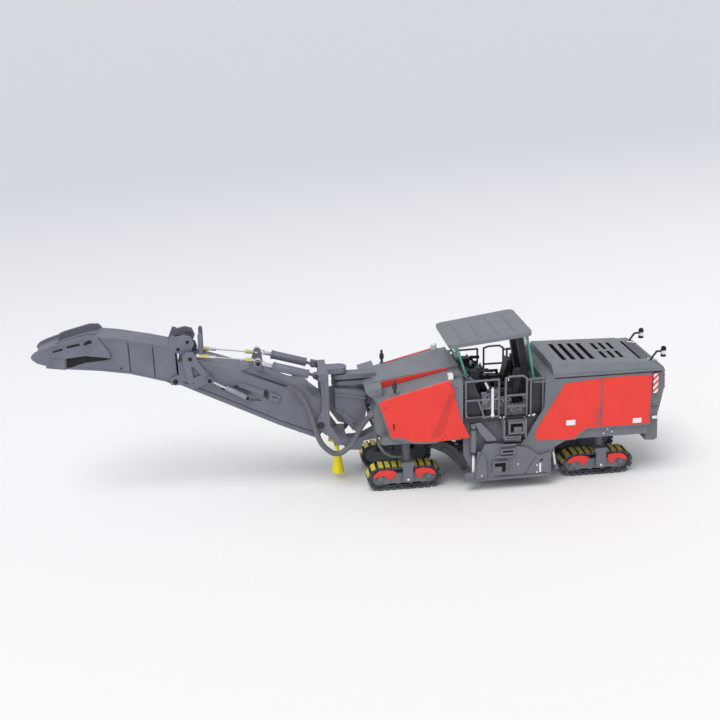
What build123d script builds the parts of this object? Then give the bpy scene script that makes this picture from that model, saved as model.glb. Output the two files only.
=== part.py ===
"""Cold planer milling machine, a 1:50 model with a folding front conveyor.

Frame: millimetres, +X towards the conveyor's end, +Y to the machine's left, +Z up, ground at
Z = 0. The origin is the middle of the overall length on the ground. Stations along X are
written from the middle of the wheelbase, and the helpers below put them in the frame.
"""
from build123d import *
import math
import os

os.makedirs("parts", exist_ok=True)

# ---------------------------------------------------------------- driving dimensions
nose_x = 214.0              # station of the conveyor's tip
tail_x = -79.6              # station of the beacon arm's end
origin_x = (nose_x + tail_x) / 2

body_half_width = 25.0      # over the red side panels
panel_thickness = 1.0
hood_half_width = body_half_width - panel_thickness
plateau_half_width = 11.5   # raised middle of the front hood
nose_half_width = hood_half_width - 4.0     # front of the hood, inside the hoses
block_half_width = hood_half_width - 2.0    # middle of the chassis and the drum's housing
lamp_y = hood_half_width - 1.5              # front posts and work lamps
roof_post_gap = 8.6         # roof posts from the middle plane
chassis_bottom_z = 26.0     # under the front half
rear_chassis_z = 22.3       # under the rear half
deck_z = 35.5               # operator's floor
deck_thickness = 1.5
fit = 0.05                  # radial running clearance of pins in bores
clear = 0.3                 # gap between pieces that move past each other

# tracks
wheelbase = 94.0
track_gauge = 28.0
track_length = 35.2
track_height = 12.0
shoe_width = 7.5
shoe_count = 24
shoe_thickness = 1.0
shoe_length = 2.6
belt_thickness = 1.1
belt_width = 5.0
leg_radius = 1.9
leg_back = 1.5              # leg's axis behind the track's middle
pin_radius = 1.2

# milling drum
drum_x = -3.0
drum_z = 14.5
drum_radius = 7.6
tool_height = 2.0
drum_half_width = block_half_width - 1.0
tool_rows = 15
tools_per_turn = 6

# side plates
plate_thickness = 1.1
plate_inner_y = body_half_width + clear
plate_outer_y = plate_inner_y + plate_thickness

# operator's platform
roof_thickness = 1.8
roof_front_half = body_half_width - 6.6
roof_rear_half = body_half_width - 4.7
glass_half_width = body_half_width - 8.0
rail_radius = 0.5

# conveyor
slew_x = 75.4
luff_x = 85.2
luff_z = 33.0
fold_x = 150.9
fold_z = 58.8
lower_half = 9.0
upper_half = 7.75
head_half = 9.0
frame_inner_y = lower_half + clear
frame_outer_y = frame_inner_y + 1.8
lever_inner_y = lower_half + clear
lever_thickness = 1.2
cylinder_y = 9.0
barrel_radius = 2.0
rod_radius = 1.0
eye_play = 0.6              # play of a cylinder rod's eye, where its linkage is open
lever_x = 143.1
lever_z = 57.0

# hoses
hose_radius = 1.3
hose_y = frame_outer_y + hose_radius + clear
hose_route = (       # station, height and side offset of each corner, from the boom down and back
    (100.0, 54.4, 0.0),
    (95.4, 51.6, 0.0),
    (91.2, 44.6, 0.0),
    (88.6, 34.0, 0.0),
    (85.6, 23.6, 0.0),
    (78.4, 17.4, 0.0),
    (71.2, 22.6, 0.0),
    (66.0, 32.6, 0.0),
    (62.3, 36.6, 0.0),
)


# ---------------------------------------------------------------- helpers
def at(x, y, z):
    """A point given by its station, side and height."""
    return Vector(x - origin_x, y, z)


def slab(points, y_low, y_high, mode=Mode.ADD):
    """Add a side outline, (station, height) points, between two Y values."""
    with BuildSketch(Plane(at(0, y_high, 0), x_dir=(1, 0, 0), z_dir=(0, -1, 0))) as outline:
        with BuildLine():
            Polyline(*points, close=True)
        make_face()
    extrude(outline.sketch, amount=y_high - y_low, mode=mode)


def pair(points, y_low, y_high, mode=Mode.ADD):
    """Add the same side outline on the left and on the right."""
    slab(points, y_low, y_high, mode)
    slab(points, -y_high, -y_low, mode)


def block(x_span, y_span, z_span, mode=Mode.ADD):
    """Add a box from its three spans."""
    middle = at(sum(x_span) / 2, sum(y_span) / 2, sum(z_span) / 2)
    with Locations(middle):
        Box(x_span[1] - x_span[0], y_span[1] - y_span[0], z_span[1] - z_span[0], mode=mode)


def rod(start, end, radius, mode=Mode.ADD):
    """Add a round bar between two points."""
    axis = end - start
    with BuildSketch(Plane(start, z_dir=axis)) as section:
        Circle(radius)
    extrude(section.sketch, amount=axis.length, mode=mode)


def cross_rod(x, z, radius, y_low, y_high, mode=Mode.ADD):
    """Add a round bar that lies along Y."""
    rod(at(x, y_low, z), at(x, y_high, z), radius, mode)


def bent_rod(points, radius):
    """Add a round bar through several points, with ball corners."""
    for start, end in zip(points, points[1:]):
        rod(start, end, radius)
    for corner in points[1:-1]:
        with Locations(corner):
            Sphere(radius)


# ---------------------------------------------------------------- chassis and body
leg_stations = (wheelbase / 2 - leg_back, -wheelbase / 2 - leg_back)
leg_y = track_gauge / 2
front_leg_x, rear_leg_x = leg_stations

with BuildPart() as chassis_frame:
    block((21.0, 58.0), (-hood_half_width, hood_half_width), (chassis_bottom_z, 30.0))
    block((-28.0, 23.0), (-block_half_width, block_half_width), (28.5, deck_z - deck_thickness))
    block((-69.0, -26.0), (-hood_half_width, hood_half_width), (rear_chassis_z, 30.0))
    block((-56.0, -46.0), (-6.0, 6.0), (rear_chassis_z - 1.4, rear_chassis_z))
    block((-69.0, -63.5), (-16.0, 16.0), (rear_chassis_z - 2.2, rear_chassis_z))
    for side in (-1, 1):
        for leg_x, underside in ((front_leg_x, chassis_bottom_z), (rear_leg_x, rear_chassis_z)):
            rod(at(leg_x, side * leg_y, underside - 1.0), at(leg_x, side * leg_y, underside), 2.6)
            bore_low = at(leg_x, side * leg_y, underside - 1.0)
            bore_high = at(leg_x, side * leg_y, underside + 2.6)
            rod(bore_low, bore_high, pin_radius + fit, Mode.SUBTRACT)
chassis_frame.part.label = "chassis_frame"
export_step(chassis_frame.part, "parts/chassis_frame.step")

# Hood sections, from front to rear: station, shoulder height outside and inside, plateau height
hood_sections = (
    (60.0, 47.3, 49.0, 53.0),
    (20.0, 57.4, 57.8, 58.7),
)
with BuildPart() as front_hood:
    for station, outer_z, inner_z, top_z in hood_sections:
        with BuildSketch(Plane(at(station, 0, 0), x_dir=(0, 1, 0), z_dir=(1, 0, 0))):
            with BuildLine():
                Polyline(
                    (-hood_half_width, 30.0), (hood_half_width, 30.0),
                    (hood_half_width, outer_z), (plateau_half_width, inner_z),
                    (plateau_half_width, top_z), (-plateau_half_width, top_z),
                    (-plateau_half_width, inner_z), (-hood_half_width, outer_z), close=True)
            make_face()
    loft(ruled=True)
    lean = [(54.3, 29.0), (59.9, 47.5), (60.1, 60.0), (70.0, 60.0), (70.0, 29.0)]
    pair(lean, nose_half_width, hood_half_width + 1, Mode.SUBTRACT)
    nose = [(57.0, 30.0), (59.9, 30.0), (61.1, 41.4), (59.9, 45.2), (61.2, 47.8), (64.1, 50.0),
            (64.5, 51.3), (57.0, 53.2)]
    slab(nose, -nose_half_width, nose_half_width)
    rear_cut = [(26.3, 56.0), (20.9, 56.0), (18.0, 54.4), (18.0, 60.0), (26.3, 60.0)]
    pair(rear_cut, hood_half_width - 3.0, hood_half_width + 1, Mode.SUBTRACT)
    block((20.0, 23.0), (-block_half_width, block_half_width), (28.5, deck_z - deck_thickness),
          Mode.SUBTRACT)
    for side in (-1, 1):
        post_foot = at(51.5, side * lamp_y, 46.0)
        rod(post_foot, at(51.5, side * lamp_y, 51.0), 1.2)
        gland_x, gland_z, gland_out = hose_route[-1]
        before_x, before_z, before_out = hose_route[-2]
        gland_end = at(gland_x, side * (hose_y + gland_out), gland_z)
        gland_way = gland_end - at(before_x, side * (hose_y + before_out), before_z)
        rod(gland_end, gland_end + gland_way.normalized() * 4.0, hose_radius + 0.5)
front_hood.part.label = "front_hood"
export_step(front_hood.part, "parts/front_hood.step")

stripe = [(59.9, 49.3), (59.9, 52.4), (25.0, 57.8), (25.0, 56.8)]
front_panel = [(59.2, 47.2), (54.1, 49.2), (26.3, 56.0), (20.8, 36.0), (16.8, 27.0), (31.0, 26.4),
               (44.0, 26.4), (53.6, 29.0)]
facet = [(20.0, 48.4), (24.0, 48.4), (30.7, 31.6), (27.0, 26.0), (16.0, 26.0)]
with BuildPart() as front_panels:
    pair(front_panel, hood_half_width, body_half_width)
    pair([(52.0, 36.5), (53.0, 36.5), (53.4, 33.2), (52.4, 33.2)],
         body_half_width - 0.4, body_half_width, Mode.SUBTRACT)
    pair(facet, body_half_width - 0.35, body_half_width, Mode.SUBTRACT)
    pair(stripe, plateau_half_width, plateau_half_width + 0.4)
    add(front_hood.part, mode=Mode.SUBTRACT)
front_panels.part.label = "front_panels"
export_step(front_panels.part, "parts/front_panels.step")

with BuildPart() as front_posts:
    for side in (-1, 1):
        rod(at(51.5, side * lamp_y, 51.0), at(51.5, side * lamp_y, 57.4), 0.6)
        rod(at(51.5, side * lamp_y, 53.0), at(51.5, side * lamp_y, 55.4), 1.1)
front_posts.part.label = "front_posts"
export_step(front_posts.part, "parts/front_posts.step")

with BuildPart() as work_lamps:
    for side in (-1, 1):
        block((24.4, 26.8), (side * lamp_y - 1.4, side * lamp_y + 1.4), (56.0, 58.6))
    add(front_hood.part, mode=Mode.SUBTRACT)
work_lamps.part.label = "work_lamps"
export_step(work_lamps.part, "parts/work_lamps.step")

# ---------------------------------------------------------------- rear body
rear_front_x = -18.7
hood_edge_z = 54.6
engine_side = [(-18.7, 30.0), (-18.7, 52.6), (-21.5, hood_edge_z), (-74.8, hood_edge_z),
               (-76.0, 44.6), (-74.5, 36.2), (-73.0, 30.0)]
hood_top_half = hood_half_width - 5.1
with BuildPart() as engine_body:
    slab(engine_side, -hood_half_width, hood_half_width)
    add(chassis_frame.part, mode=Mode.SUBTRACT)
engine_body.part.label = "engine_body"
export_step(engine_body.part, "parts/engine_body.step")

with BuildPart() as rear_hood:
    for station, half_top, top_z in ((-23.0, hood_top_half - 0.5, 58.3), (-65.5, hood_top_half, 57.0),
                                     (-73.5, hood_top_half, 55.6)):
        with BuildSketch(Plane(at(station, 0, 0), x_dir=(0, 1, 0), z_dir=(1, 0, 0))):
            with BuildLine():
                Polyline((-hood_half_width + 0.8, hood_edge_z), (hood_half_width - 0.8, hood_edge_z),
                         (half_top, top_z), (-half_top, top_z), close=True)
            make_face()
    loft(ruled=True)
    long_slot = hood_top_half - 6.3
    slot_rows = (        # station, half width, count across, slot length along X
        (-31.0, long_slot, 1, 2.2), (-35.6, long_slot, 1, 2.2), (-40.2, long_slot, 1, 2.2),
        (-44.8, long_slot, 1, 2.2), (-51.5, 5.2, 2, 1.8), (-55.5, 5.2, 2, 1.8),
        (-59.5, 5.2, 2, 1.8), (-67.5, hood_top_half - 4.9, 1, 1.6),
    )
    for station, half, across, length in slot_rows:
        for copy in range(across):
            middle = (copy - (across - 1) / 2) * 2 * (half + 1.4)
            block((station - length / 2, station + length / 2), (middle - half, middle + half),
                  (hood_edge_z + 0.9, 60.0), Mode.SUBTRACT)
rear_hood.part.label = "rear_hood"
export_step(rear_hood.part, "parts/rear_hood.step")

rear_panel = [(-28.0, 50.7), (-45.2, 52.1), (-45.2, 27.7), (-39.0, 27.7), (-31.9, 22.6),
              (-14.5, 23.2), (-14.4, 28.6), (-20.0, 37.5)]
door_panel = [(-45.9, 52.2), (-69.4, 52.2), (-69.4, 27.7), (-45.9, 27.7)]
with BuildPart() as rear_panels:
    pair(rear_panel, hood_half_width, body_half_width)
    pair(door_panel, hood_half_width, body_half_width)
rear_panels.part.label = "rear_panels"
export_step(rear_panels.part, "parts/rear_panels.step")

flank = [(-18.7, 52.6), (-18.3, 39.3), (-10.2, 25.9), (-1.7, 14.3), (0.1, 8.0), (-21.6, 8.0),
         (-22.4, 18.6), (-29.0, 22.1), (-34.0, 22.3), (-39.0, 27.0), (-45.5, 27.0),
         (-69.8, 27.0), (-69.8, 53.2), (-75.0, 53.2), (-74.9, 54.6), (-21.5, 54.6)]
with BuildPart() as flank_plates:
    pair(flank, hood_half_width, body_half_width)
    add(rear_panels.part, mode=Mode.SUBTRACT)
flank_plates.part.label = "flank_plates"
export_step(flank_plates.part, "parts/flank_plates.step")

tail_outline = [(-69.0, 30.0), (-73.0, 30.0), (-74.5, 36.2), (-76.0, 44.6), (-74.8, 54.6),
                (-76.2, 54.6), (-77.0, 53.2), (-77.5, 44.6), (-75.7, 42.2), (-74.6, 36.2),
                (-75.2, 18.2), (-73.6, 17.3), (-69.1, 17.7)]
tail_half_width = hood_half_width - 3.0
with BuildPart() as tail_bumper:
    slab(tail_outline, -tail_half_width, tail_half_width)
    add(engine_body.part, mode=Mode.SUBTRACT)
    add(chassis_frame.part, mode=Mode.SUBTRACT)
tail_bumper.part.label = "tail_bumper"
export_step(tail_bumper.part, "parts/tail_bumper.step")

stripe_band = [(-76.9, 43.5), (-77.9, 43.5), (-77.4, 53.0), (-76.4, 53.0)]
with BuildPart() as warning_stripes:
    pair(stripe_band, tail_half_width - 8.0, tail_half_width - 0.5)
    add(tail_bumper.part, mode=Mode.SUBTRACT)
    pair([(-70.2, 43.0), (-72.6, 43.0), (-72.6, 52.6), (-70.2, 52.6)],
         body_half_width, body_half_width + 0.3)
    add(flank_plates.part, mode=Mode.SUBTRACT)
warning_stripes.part.label = "warning_stripes"
export_step(warning_stripes.part, "parts/warning_stripes.step")

with BuildPart() as beacon_and_mirrors:
    for side in (-1, 1):
        arm_y = side * (hood_top_half - 3.9)
        bent_rod([at(-72.0, arm_y, 55.9), at(-75.0, arm_y, 60.0), at(-78.6, arm_y, 60.0)], 0.5)
        rod(at(-78.6, arm_y, 57.4), at(-78.6, arm_y, 61.4), 1.0)
    add(rear_hood.part, mode=Mode.SUBTRACT)
beacon_and_mirrors.part.label = "beacon_and_mirrors"
export_step(beacon_and_mirrors.part, "parts/beacon_and_mirrors.step")

# ---------------------------------------------------------------- operator's platform
deck_front_x = 20.0
with BuildPart() as platform_deck:
    block((rear_front_x, deck_front_x), (-hood_half_width, hood_half_width),
          (deck_z - deck_thickness, deck_z))
    for side in (-1, 1):
        edge = side * (hood_half_width - 0.4)
        block((11.0, deck_front_x), (edge - 0.4, edge + 0.4), (deck_z, deck_z + 1.0))
    add(front_hood.part, mode=Mode.SUBTRACT)
platform_deck.part.label = "platform_deck"
export_step(platform_deck.part, "parts/platform_deck.step")

desk_half_width = hood_half_width - 9.0
with BuildPart() as consoles:
    desk = [(deck_front_x, deck_z), (deck_front_x, 55.2), (16.0, 55.2), (14.6, 53.2), (11.5, 50.5),
            (14.0, 48.0), (14.0, deck_z)]
    slab(desk, -desk_half_width, desk_half_width)
    for x_span, y_span, z_span in (
        ((-4.0, 8.0), (desk_half_width + 0.2, desk_half_width + 4.0), (deck_z, 43.0)),
        ((-4.0, 8.0), (-desk_half_width - 4.0, -desk_half_width - 0.2), (deck_z, 43.0)),
        ((2.0, 7.0), (desk_half_width - 0.6, desk_half_width + 4.4), (43.0, 47.5)),
        ((2.0, 7.0), (-desk_half_width - 4.4, -desk_half_width + 0.6), (43.0, 47.5)),
        ((rear_front_x, -15.0), (-desk_half_width - 5.0, desk_half_width + 5.0), (deck_z, 49.0)),
    ):
        block(x_span, y_span, z_span)
    add(front_hood.part, mode=Mode.SUBTRACT)
consoles.part.label = "consoles"
export_step(consoles.part, "parts/consoles.step")

seat_profile = [(0.5, 41.0), (0.5, 44.6), (-5.6, 43.6), (-8.2, 53.5), (-10.4, 53.0), (-8.2, 41.0)]
with BuildPart() as seats:
    for side in (-1, 1):
        seat_y = side * 9.6
        slab(seat_profile, seat_y - 3.6, seat_y + 3.6)
        rod(at(-3.5, seat_y, deck_z), at(-3.5, seat_y, 41.0), 1.8)
        block((-4.6, 1.2), (seat_y - 4.6, seat_y - 3.6), (45.2, 46.4))
        block((-4.6, 1.2), (seat_y + 3.6, seat_y + 4.6), (45.2, 46.4))
        block((-5.2, -4.0), (seat_y - 4.6, seat_y - 3.6), (42.0, 46.4))
        block((-5.2, -4.0), (seat_y + 3.6, seat_y + 4.6), (42.0, 46.4))
seats.part.label = "seats"
export_step(seats.part, "parts/seats.step")

roof_side = [(-13.5, 75.2), (25.3, 70.6), (25.1, 70.6 - roof_thickness),
             (-13.6, 75.2 - roof_thickness)]
with BuildPart() as roof:
    with BuildSketch(Plane.XY.offset(60.0)) as plan:
        with BuildLine():
            Polyline((25.3 - origin_x, -roof_front_half), (25.3 - origin_x, roof_front_half),
                     (-13.5 - origin_x, roof_rear_half), (-13.5 - origin_x, -roof_rear_half),
                     close=True)
        make_face()
        fillet(plan.vertices(), 3.0)
    extrude(amount=30.0)
    with BuildSketch(Plane(at(0, 30.0, 0), x_dir=(1, 0, 0), z_dir=(0, -1, 0))) as side_view:
        with BuildLine():
            Polyline(*roof_side, close=True)
        make_face()
    extrude(side_view.sketch, amount=60.0, mode=Mode.INTERSECT)
roof.part.label = "roof"
export_step(roof.part, "parts/roof.step")

with BuildPart() as roof_posts:
    post_side = [(-10.9, 74.0), (-8.0, 74.0), (-12.0, 49.0), (-15.0, 49.0)]
    for side in (-1, 1):
        post_y = side * roof_post_gap
        slab(post_side, post_y - 1.6, post_y + 1.6)
        block((-9.8, -5.0), (post_y - 2.4, post_y + 2.4), (70.8, 73.4))
    add(roof.part, mode=Mode.SUBTRACT)
    add(consoles.part, mode=Mode.SUBTRACT)
    add(rear_hood.part, mode=Mode.SUBTRACT)
    add(seats.part, mode=Mode.SUBTRACT)
roof_posts.part.label = "roof_posts"
export_step(roof_posts.part, "parts/roof_posts.step")

with BuildPart() as glass_screens:
    front_glass = [(21.4, 70.2), (22.2, 70.2), (17.6, 55.2), (16.8, 55.2)]
    slab(front_glass, -glass_half_width, glass_half_width)
    rear_glass = [(-15.1, 49.0), (-15.9, 49.0), (-11.8, 74.6), (-11.0, 74.6)]
    slab(rear_glass, -glass_half_width, glass_half_width)
    add(roof.part, mode=Mode.SUBTRACT)
    add(consoles.part, mode=Mode.SUBTRACT)
    add(front_hood.part, mode=Mode.SUBTRACT)
    block((-40.0, 0.0), (-30.0, 30.0), (73.6, 90.0), Mode.SUBTRACT)
glass_screens.part.label = "glass_screens"
export_step(glass_screens.part, "parts/glass_screens.step")

rail_y = hood_half_width - 0.6
with BuildPart() as handrails:
    for side in (-1, 1):
        y = side * rail_y
        low_z = deck_z
        bent_rod([at(18.6, y, low_z), at(18.6, y, 54.2), at(3.0, y, 54.4), at(3.0, y, low_z)],
                 rail_radius)
        rod(at(18.6, y, 44.8), at(3.0, y, 44.8), rail_radius)
        rod(at(12.8, y, 44.8), at(9.6, y, low_z - 0.2), rail_radius)
        bent_rod([at(-0.2, y, low_z), at(-0.2, y, 54.6), at(-3.0, y, 55.4), at(-8.4, y, 55.4),
                  at(-10.2, y, 54.0), at(-10.2, y, low_z)], rail_radius)
        rod(at(-0.2, y, 46.1), at(-10.2, y, 46.1), rail_radius)
        bent_rod([at(-12.1, y, low_z), at(-12.1, y, 53.5), at(-17.9, y, 53.5),
                  at(-17.9, y, low_z)], rail_radius)
        rod(at(6.0, y, low_z), at(6.0, y, 51.0), rail_radius)
    add(platform_deck.part, mode=Mode.SUBTRACT)
handrails.part.label = "handrails"
export_step(handrails.part, "parts/handrails.step")

# ---------------------------------------------------------------- milling drum and its housing
housing_half = block_half_width
housing_wall = 1.2
housing_front = 19.5
housing_rear = -22.0
chamber_radius = drum_radius + tool_height + 0.9
with BuildPart() as drum_housing:
    housing = [(housing_front, 28.5), (housing_front, 17.0), (14.5, 7.0), (housing_rear, 7.0),
               (-24.5, 18.6), (-24.5, 28.5)]
    slab(housing, -housing_half, housing_half)
    inner = housing_half - housing_wall
    cross_rod(drum_x, drum_z, chamber_radius, -inner, inner, Mode.SUBTRACT)
    block((drum_x - chamber_radius + 0.4, drum_x + chamber_radius - 0.4), (-inner, inner),
          (0.0, drum_z), Mode.SUBTRACT)
    cross_rod(drum_x, drum_z, 2.4 + fit, -housing_half, housing_half, Mode.SUBTRACT)
    add(chassis_frame.part, mode=Mode.SUBTRACT)
drum_housing.part.label = "drum_housing"
export_step(drum_housing.part, "parts/drum_housing.step")

with BuildPart() as milling_drum:
    cross_rod(drum_x, drum_z, drum_radius, -drum_half_width + 1.0, drum_half_width - 1.0)
    cross_rod(drum_x, drum_z, 2.4, -housing_half, housing_half)
    for row in range(tool_rows):
        share = row / (tool_rows - 1) - 0.5
        tool_y = share * 2 * (drum_half_width - 2.4)
        for copy in range(tools_per_turn // 2):
            angle = 360 / tools_per_turn * 2 * copy + row * 38.0
            reach = drum_radius + tool_height
            side_x = math.sin(math.radians(angle))
            side_z = math.cos(math.radians(angle))
            root = at(drum_x + side_x * (drum_radius - 1), tool_y, drum_z + side_z * (drum_radius - 1))
            tip = at(drum_x + side_x * reach, tool_y, drum_z + side_z * reach)
            with BuildSketch(Plane(root, z_dir=tip - root)) as tool:
                Circle(0.85)
            extrude(tool.sketch, amount=(tip - root).length, taper=6)
milling_drum.part.label = "milling_drum"
export_step(milling_drum.part, "parts/milling_drum.step")

guide_x = 14.9
guide_y = housing_half + 1.5
guide_rod_radius = 0.8
plate_shape = [(19.7, 5.3), (-21.8, 5.3), (-21.5, 17.5), (-16.0, 16.0), (-10.2, 20.5), (-2.0, 22.5),
               (5.4, 23.7), (10.2, 23.5), (11.8, 19.6), (13.5, 20.3), (14.8, 9.5), (19.7, 9.5)]
body_steps = (       # station span and height span of each step box on the body
    ((-8.4, -0.7), (28.4, 34.4)),
    ((-6.6, 1.1), (25.6, 27.4)),
)
plate_steps = (      # the same, on the side plates
    ((-4.2, 2.9), (18.6, 21.2)),
    ((-0.6, 6.7), (8.7, 15.2)),
)
step_depth = 1.5
for side, name in ((1, "left"), (-1, "right")):
    with BuildPart() as side_plate:
        inner = plate_inner_y
        outer = plate_outer_y
        span = (inner, outer) if side > 0 else (-outer, -inner)
        slab(plate_shape, *span)
        depth = (outer, outer + step_depth) if side > 0 else (-outer - step_depth, -outer)
        for x_span, z_span in plate_steps:
            block(x_span, depth, z_span)
            hollow = (z_span[0] + 0.8, z_span[1] - 0.8)
            block((x_span[0] + 1.0, x_span[1] - 1.0), depth, hollow, Mode.SUBTRACT)
    side_plate.part.label = f"side_plate_{name}"
    export_step(side_plate.part, f"parts/side_plate_{name}.step")

    with BuildPart() as plate_rod:
        rod(at(guide_x, side * guide_y, 6.4), at(guide_x, side * guide_y, 26.0), guide_rod_radius)
        rod(at(guide_x + 0.6, side * (guide_y - 0.9), 7.6), at(guide_x + 0.6, side * inner, 7.6), 1.2)
    plate_rod.part.label = f"plate_rod_{name}"
    export_step(plate_rod.part, f"parts/plate_rod_{name}.step")

with BuildPart() as boarding_steps:
    for side in (-1, 1):
        near = (hood_half_width, plate_outer_y + step_depth)
        depth = near if side > 0 else (-near[1], -near[0])
        for x_span, z_span in body_steps:
            block(x_span, depth, z_span)
            hollow = (z_span[0] + 0.7, z_span[1] - 0.7)
            block((x_span[0] + 0.9, x_span[1] - 0.9), depth, hollow, Mode.SUBTRACT)
        for x_low in (-9.4, 0.9):
            block((x_low, x_low + 0.9), depth, (26.4, deck_z))
    add(flank_plates.part, mode=Mode.SUBTRACT)
boarding_steps.part.label = "boarding_steps"
export_step(boarding_steps.part, "parts/boarding_steps.step")

with BuildPart() as side_cylinders:
    for side in (-1, 1):
        y = side * guide_y
        rod(at(guide_x, y, 18.0), at(guide_x, y, 33.5), 1.5)
        rod(at(guide_x, y, 18.0), at(guide_x, y, 18.0 + 12.0), guide_rod_radius + fit, Mode.SUBTRACT)
side_cylinders.part.label = "side_cylinders"
export_step(side_cylinders.part, "parts/side_cylinders.step")

# ---------------------------------------------------------------- crawler tracks
end_radius = track_height / 2
straight_half = track_length / 2 - end_radius
ring_outer = end_radius - shoe_thickness
ring_inner = ring_outer - belt_thickness
wheel_radius = ring_inner - 0.15
yoke_inner = shoe_width / 2 + clear
yoke_outer = yoke_inner + 1.2
loop_length = 4 * straight_half + 2 * math.pi * ring_outer


def loop_place(distance):
    """Offset, height and turn of a shoe at a distance along the track's loop."""
    distance = distance % loop_length
    arc = math.pi * ring_outer
    if distance < 2 * straight_half:
        return distance - straight_half, ring_outer, 0.0
    distance -= 2 * straight_half
    if distance < arc:
        turn = distance / ring_outer
        return (straight_half + ring_outer * math.sin(turn), ring_outer * math.cos(turn),
                -math.degrees(turn))
    distance -= arc
    if distance < 2 * straight_half:
        return straight_half - distance, -ring_outer, 180.0
    turn = (distance - 2 * straight_half) / ring_outer
    return (-straight_half - ring_outer * math.sin(turn), -ring_outer * math.cos(turn),
            180.0 - math.degrees(turn))


def track_plane(x, y):
    """A side-view plane through a track's middle, at the far side of its shoes."""
    return Plane(at(x, y, end_radius), x_dir=(1, 0, 0), z_dir=(0, -1, 0))


track_table = (      # name, station of the middle, side
    ("front_left", wheelbase / 2, 1),
    ("front_right", wheelbase / 2, -1),
    ("rear_left", -wheelbase / 2, 1),
    ("rear_right", -wheelbase / 2, -1),
)
for name, track_x, side in track_table:
    track_y = side * track_gauge / 2
    leg_x = track_x - leg_back
    chassis_z = chassis_bottom_z if track_x > 0 else rear_chassis_z
    plane = track_plane(track_x, track_y)

    with BuildPart() as track_belt:
        with BuildSketch(plane.offset(-belt_width / 2)) as ring:
            SlotCenterToCenter(2 * straight_half, 2 * ring_outer)
            SlotCenterToCenter(2 * straight_half, 2 * ring_inner, mode=Mode.SUBTRACT)
        extrude(ring.sketch, amount=belt_width)
        with BuildSketch(plane.offset(-shoe_width / 2)) as shoes:
            for index in range(shoe_count):
                offset_x, height, turn = loop_place(loop_length * index / shoe_count)
                out = math.radians(turn + 90)
                shift = (shoe_thickness - 0.3) / 2
                middle = (offset_x + shift * math.cos(out), height + shift * math.sin(out))
                with Locations(middle):
                    Rectangle(shoe_length, shoe_thickness + 0.3, rotation=turn)
        extrude(shoes.sketch, amount=shoe_width)
    track_belt.part.label = f"track_{name}"
    export_step(track_belt.part, f"parts/track_{name}.step")

    with BuildPart() as track_frame:
        for end in (-1, 1):
            cross_rod(track_x + end * straight_half, end_radius, wheel_radius,
                      track_y - 2.4, track_y + 2.4)
        beam = [(track_x - 11.0, 3.4), (track_x + 11.0, 3.4), (track_x + 11.0, 8.4),
                (track_x - 11.0, 8.4)]
        slab(beam, track_y - 3.4, track_y + 3.4)
        for roller in range(4):
            cross_rod(track_x - 9.0 + 6.0 * roller, end_radius - ring_inner + 1.65, 1.5,
                      track_y - 2.4, track_y + 2.4)
        cross_rod(leg_x, end_radius, 1.8, track_y - yoke_inner, track_y + yoke_inner)
        face_y = track_y + side * 3.4
        cross_rod(track_x - straight_half, end_radius, 2.3, min(face_y, track_y),
                  max(face_y, track_y))
    track_frame.part.label = f"track_frame_{name}"
    export_step(track_frame.part, f"parts/track_frame_{name}.step")

    cover_front = [(track_x + 13.0, 8.2), (track_x + 4.0, 9.6), (track_x + 4.0, 8.4),
                   (track_x + 5.4, 6.4), (track_x + 7.0, 8.0)]
    cover_rear = [(track_x - 6.6, 8.4), (track_x - 6.6, 9.6), (track_x - 14.0, 9.0),
                  (track_x - 14.6, 6.6), (track_x - 12.6, 8.4)]
    with BuildPart() as track_cover:
        y_span = (face_y, face_y + 0.35) if side > 0 else (face_y - 0.35, face_y)
        slab(cover_front, *y_span)
        slab(cover_rear, *y_span)
    track_cover.part.label = f"track_cover_{name}"
    export_step(track_cover.part, f"parts/track_cover_{name}.step")

    yoke_top = track_height + clear
    with BuildPart() as track_leg:
        rod(at(leg_x, track_y, yoke_top + 1.0), at(leg_x, track_y, chassis_z - 1.0 - 0.1), leg_radius)
        rod(at(leg_x, track_y, chassis_z - 3.0), at(leg_x, track_y, chassis_z + 2.2), pin_radius)
        block((leg_x - 3.0, leg_x + 3.0), (track_y - yoke_outer, track_y + yoke_outer),
              (yoke_top, yoke_top + 2.0))
        for low, high in ((-yoke_outer, -yoke_inner), (yoke_inner, yoke_outer)):
            block((leg_x - 2.4, leg_x + 2.4), (track_y + low, track_y + high),
                  (end_radius - 1.8, yoke_top + 2.0))
    track_leg.part.label = f"track_leg_{name}"
    export_step(track_leg.part, f"parts/track_leg_{name}.step")

# ---------------------------------------------------------------- fixed front brackets and chute
lug_half = 3.4
upper_lug = (52.4, 54.8)
lower_lug = (49.4, 51.4)
lower_beam = (19.8, 22.2)
slew_pin_radius = 1.5
with BuildPart() as slew_support:
    for z_low, z_high in (upper_lug, lower_lug):
        slab([(58.0, z_low), (slew_x, z_low), (slew_x, z_high), (58.0, z_high)],
             -lug_half, lug_half)
        rod(at(slew_x, 0, z_low), at(slew_x, 0, z_high), lug_half)
        rod(at(slew_x, 0, z_low), at(slew_x, 0, z_high), slew_pin_radius + fit, Mode.SUBTRACT)
    arm = [(48.0, chassis_bottom_z), (58.0, chassis_bottom_z), (66.0, lower_beam[1]),
           (slew_x, lower_beam[1]), (slew_x, lower_beam[0]), (71.9, 16.4), (66.1, 15.9),
           (64.5, 20.5), (50.0, 22.5)]
    slab(arm, -lug_half, lug_half)
    rod(at(slew_x, 0, lower_beam[0]), at(slew_x, 0, lower_beam[1]), lug_half)
    rod(at(slew_x, 0, lower_beam[0] + 0.6), at(slew_x, 0, lower_beam[1]),
        slew_pin_radius + fit, Mode.SUBTRACT)
    add(front_hood.part, mode=Mode.SUBTRACT)
slew_support.part.label = "slew_support"
export_step(slew_support.part, "parts/slew_support.step")

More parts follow.
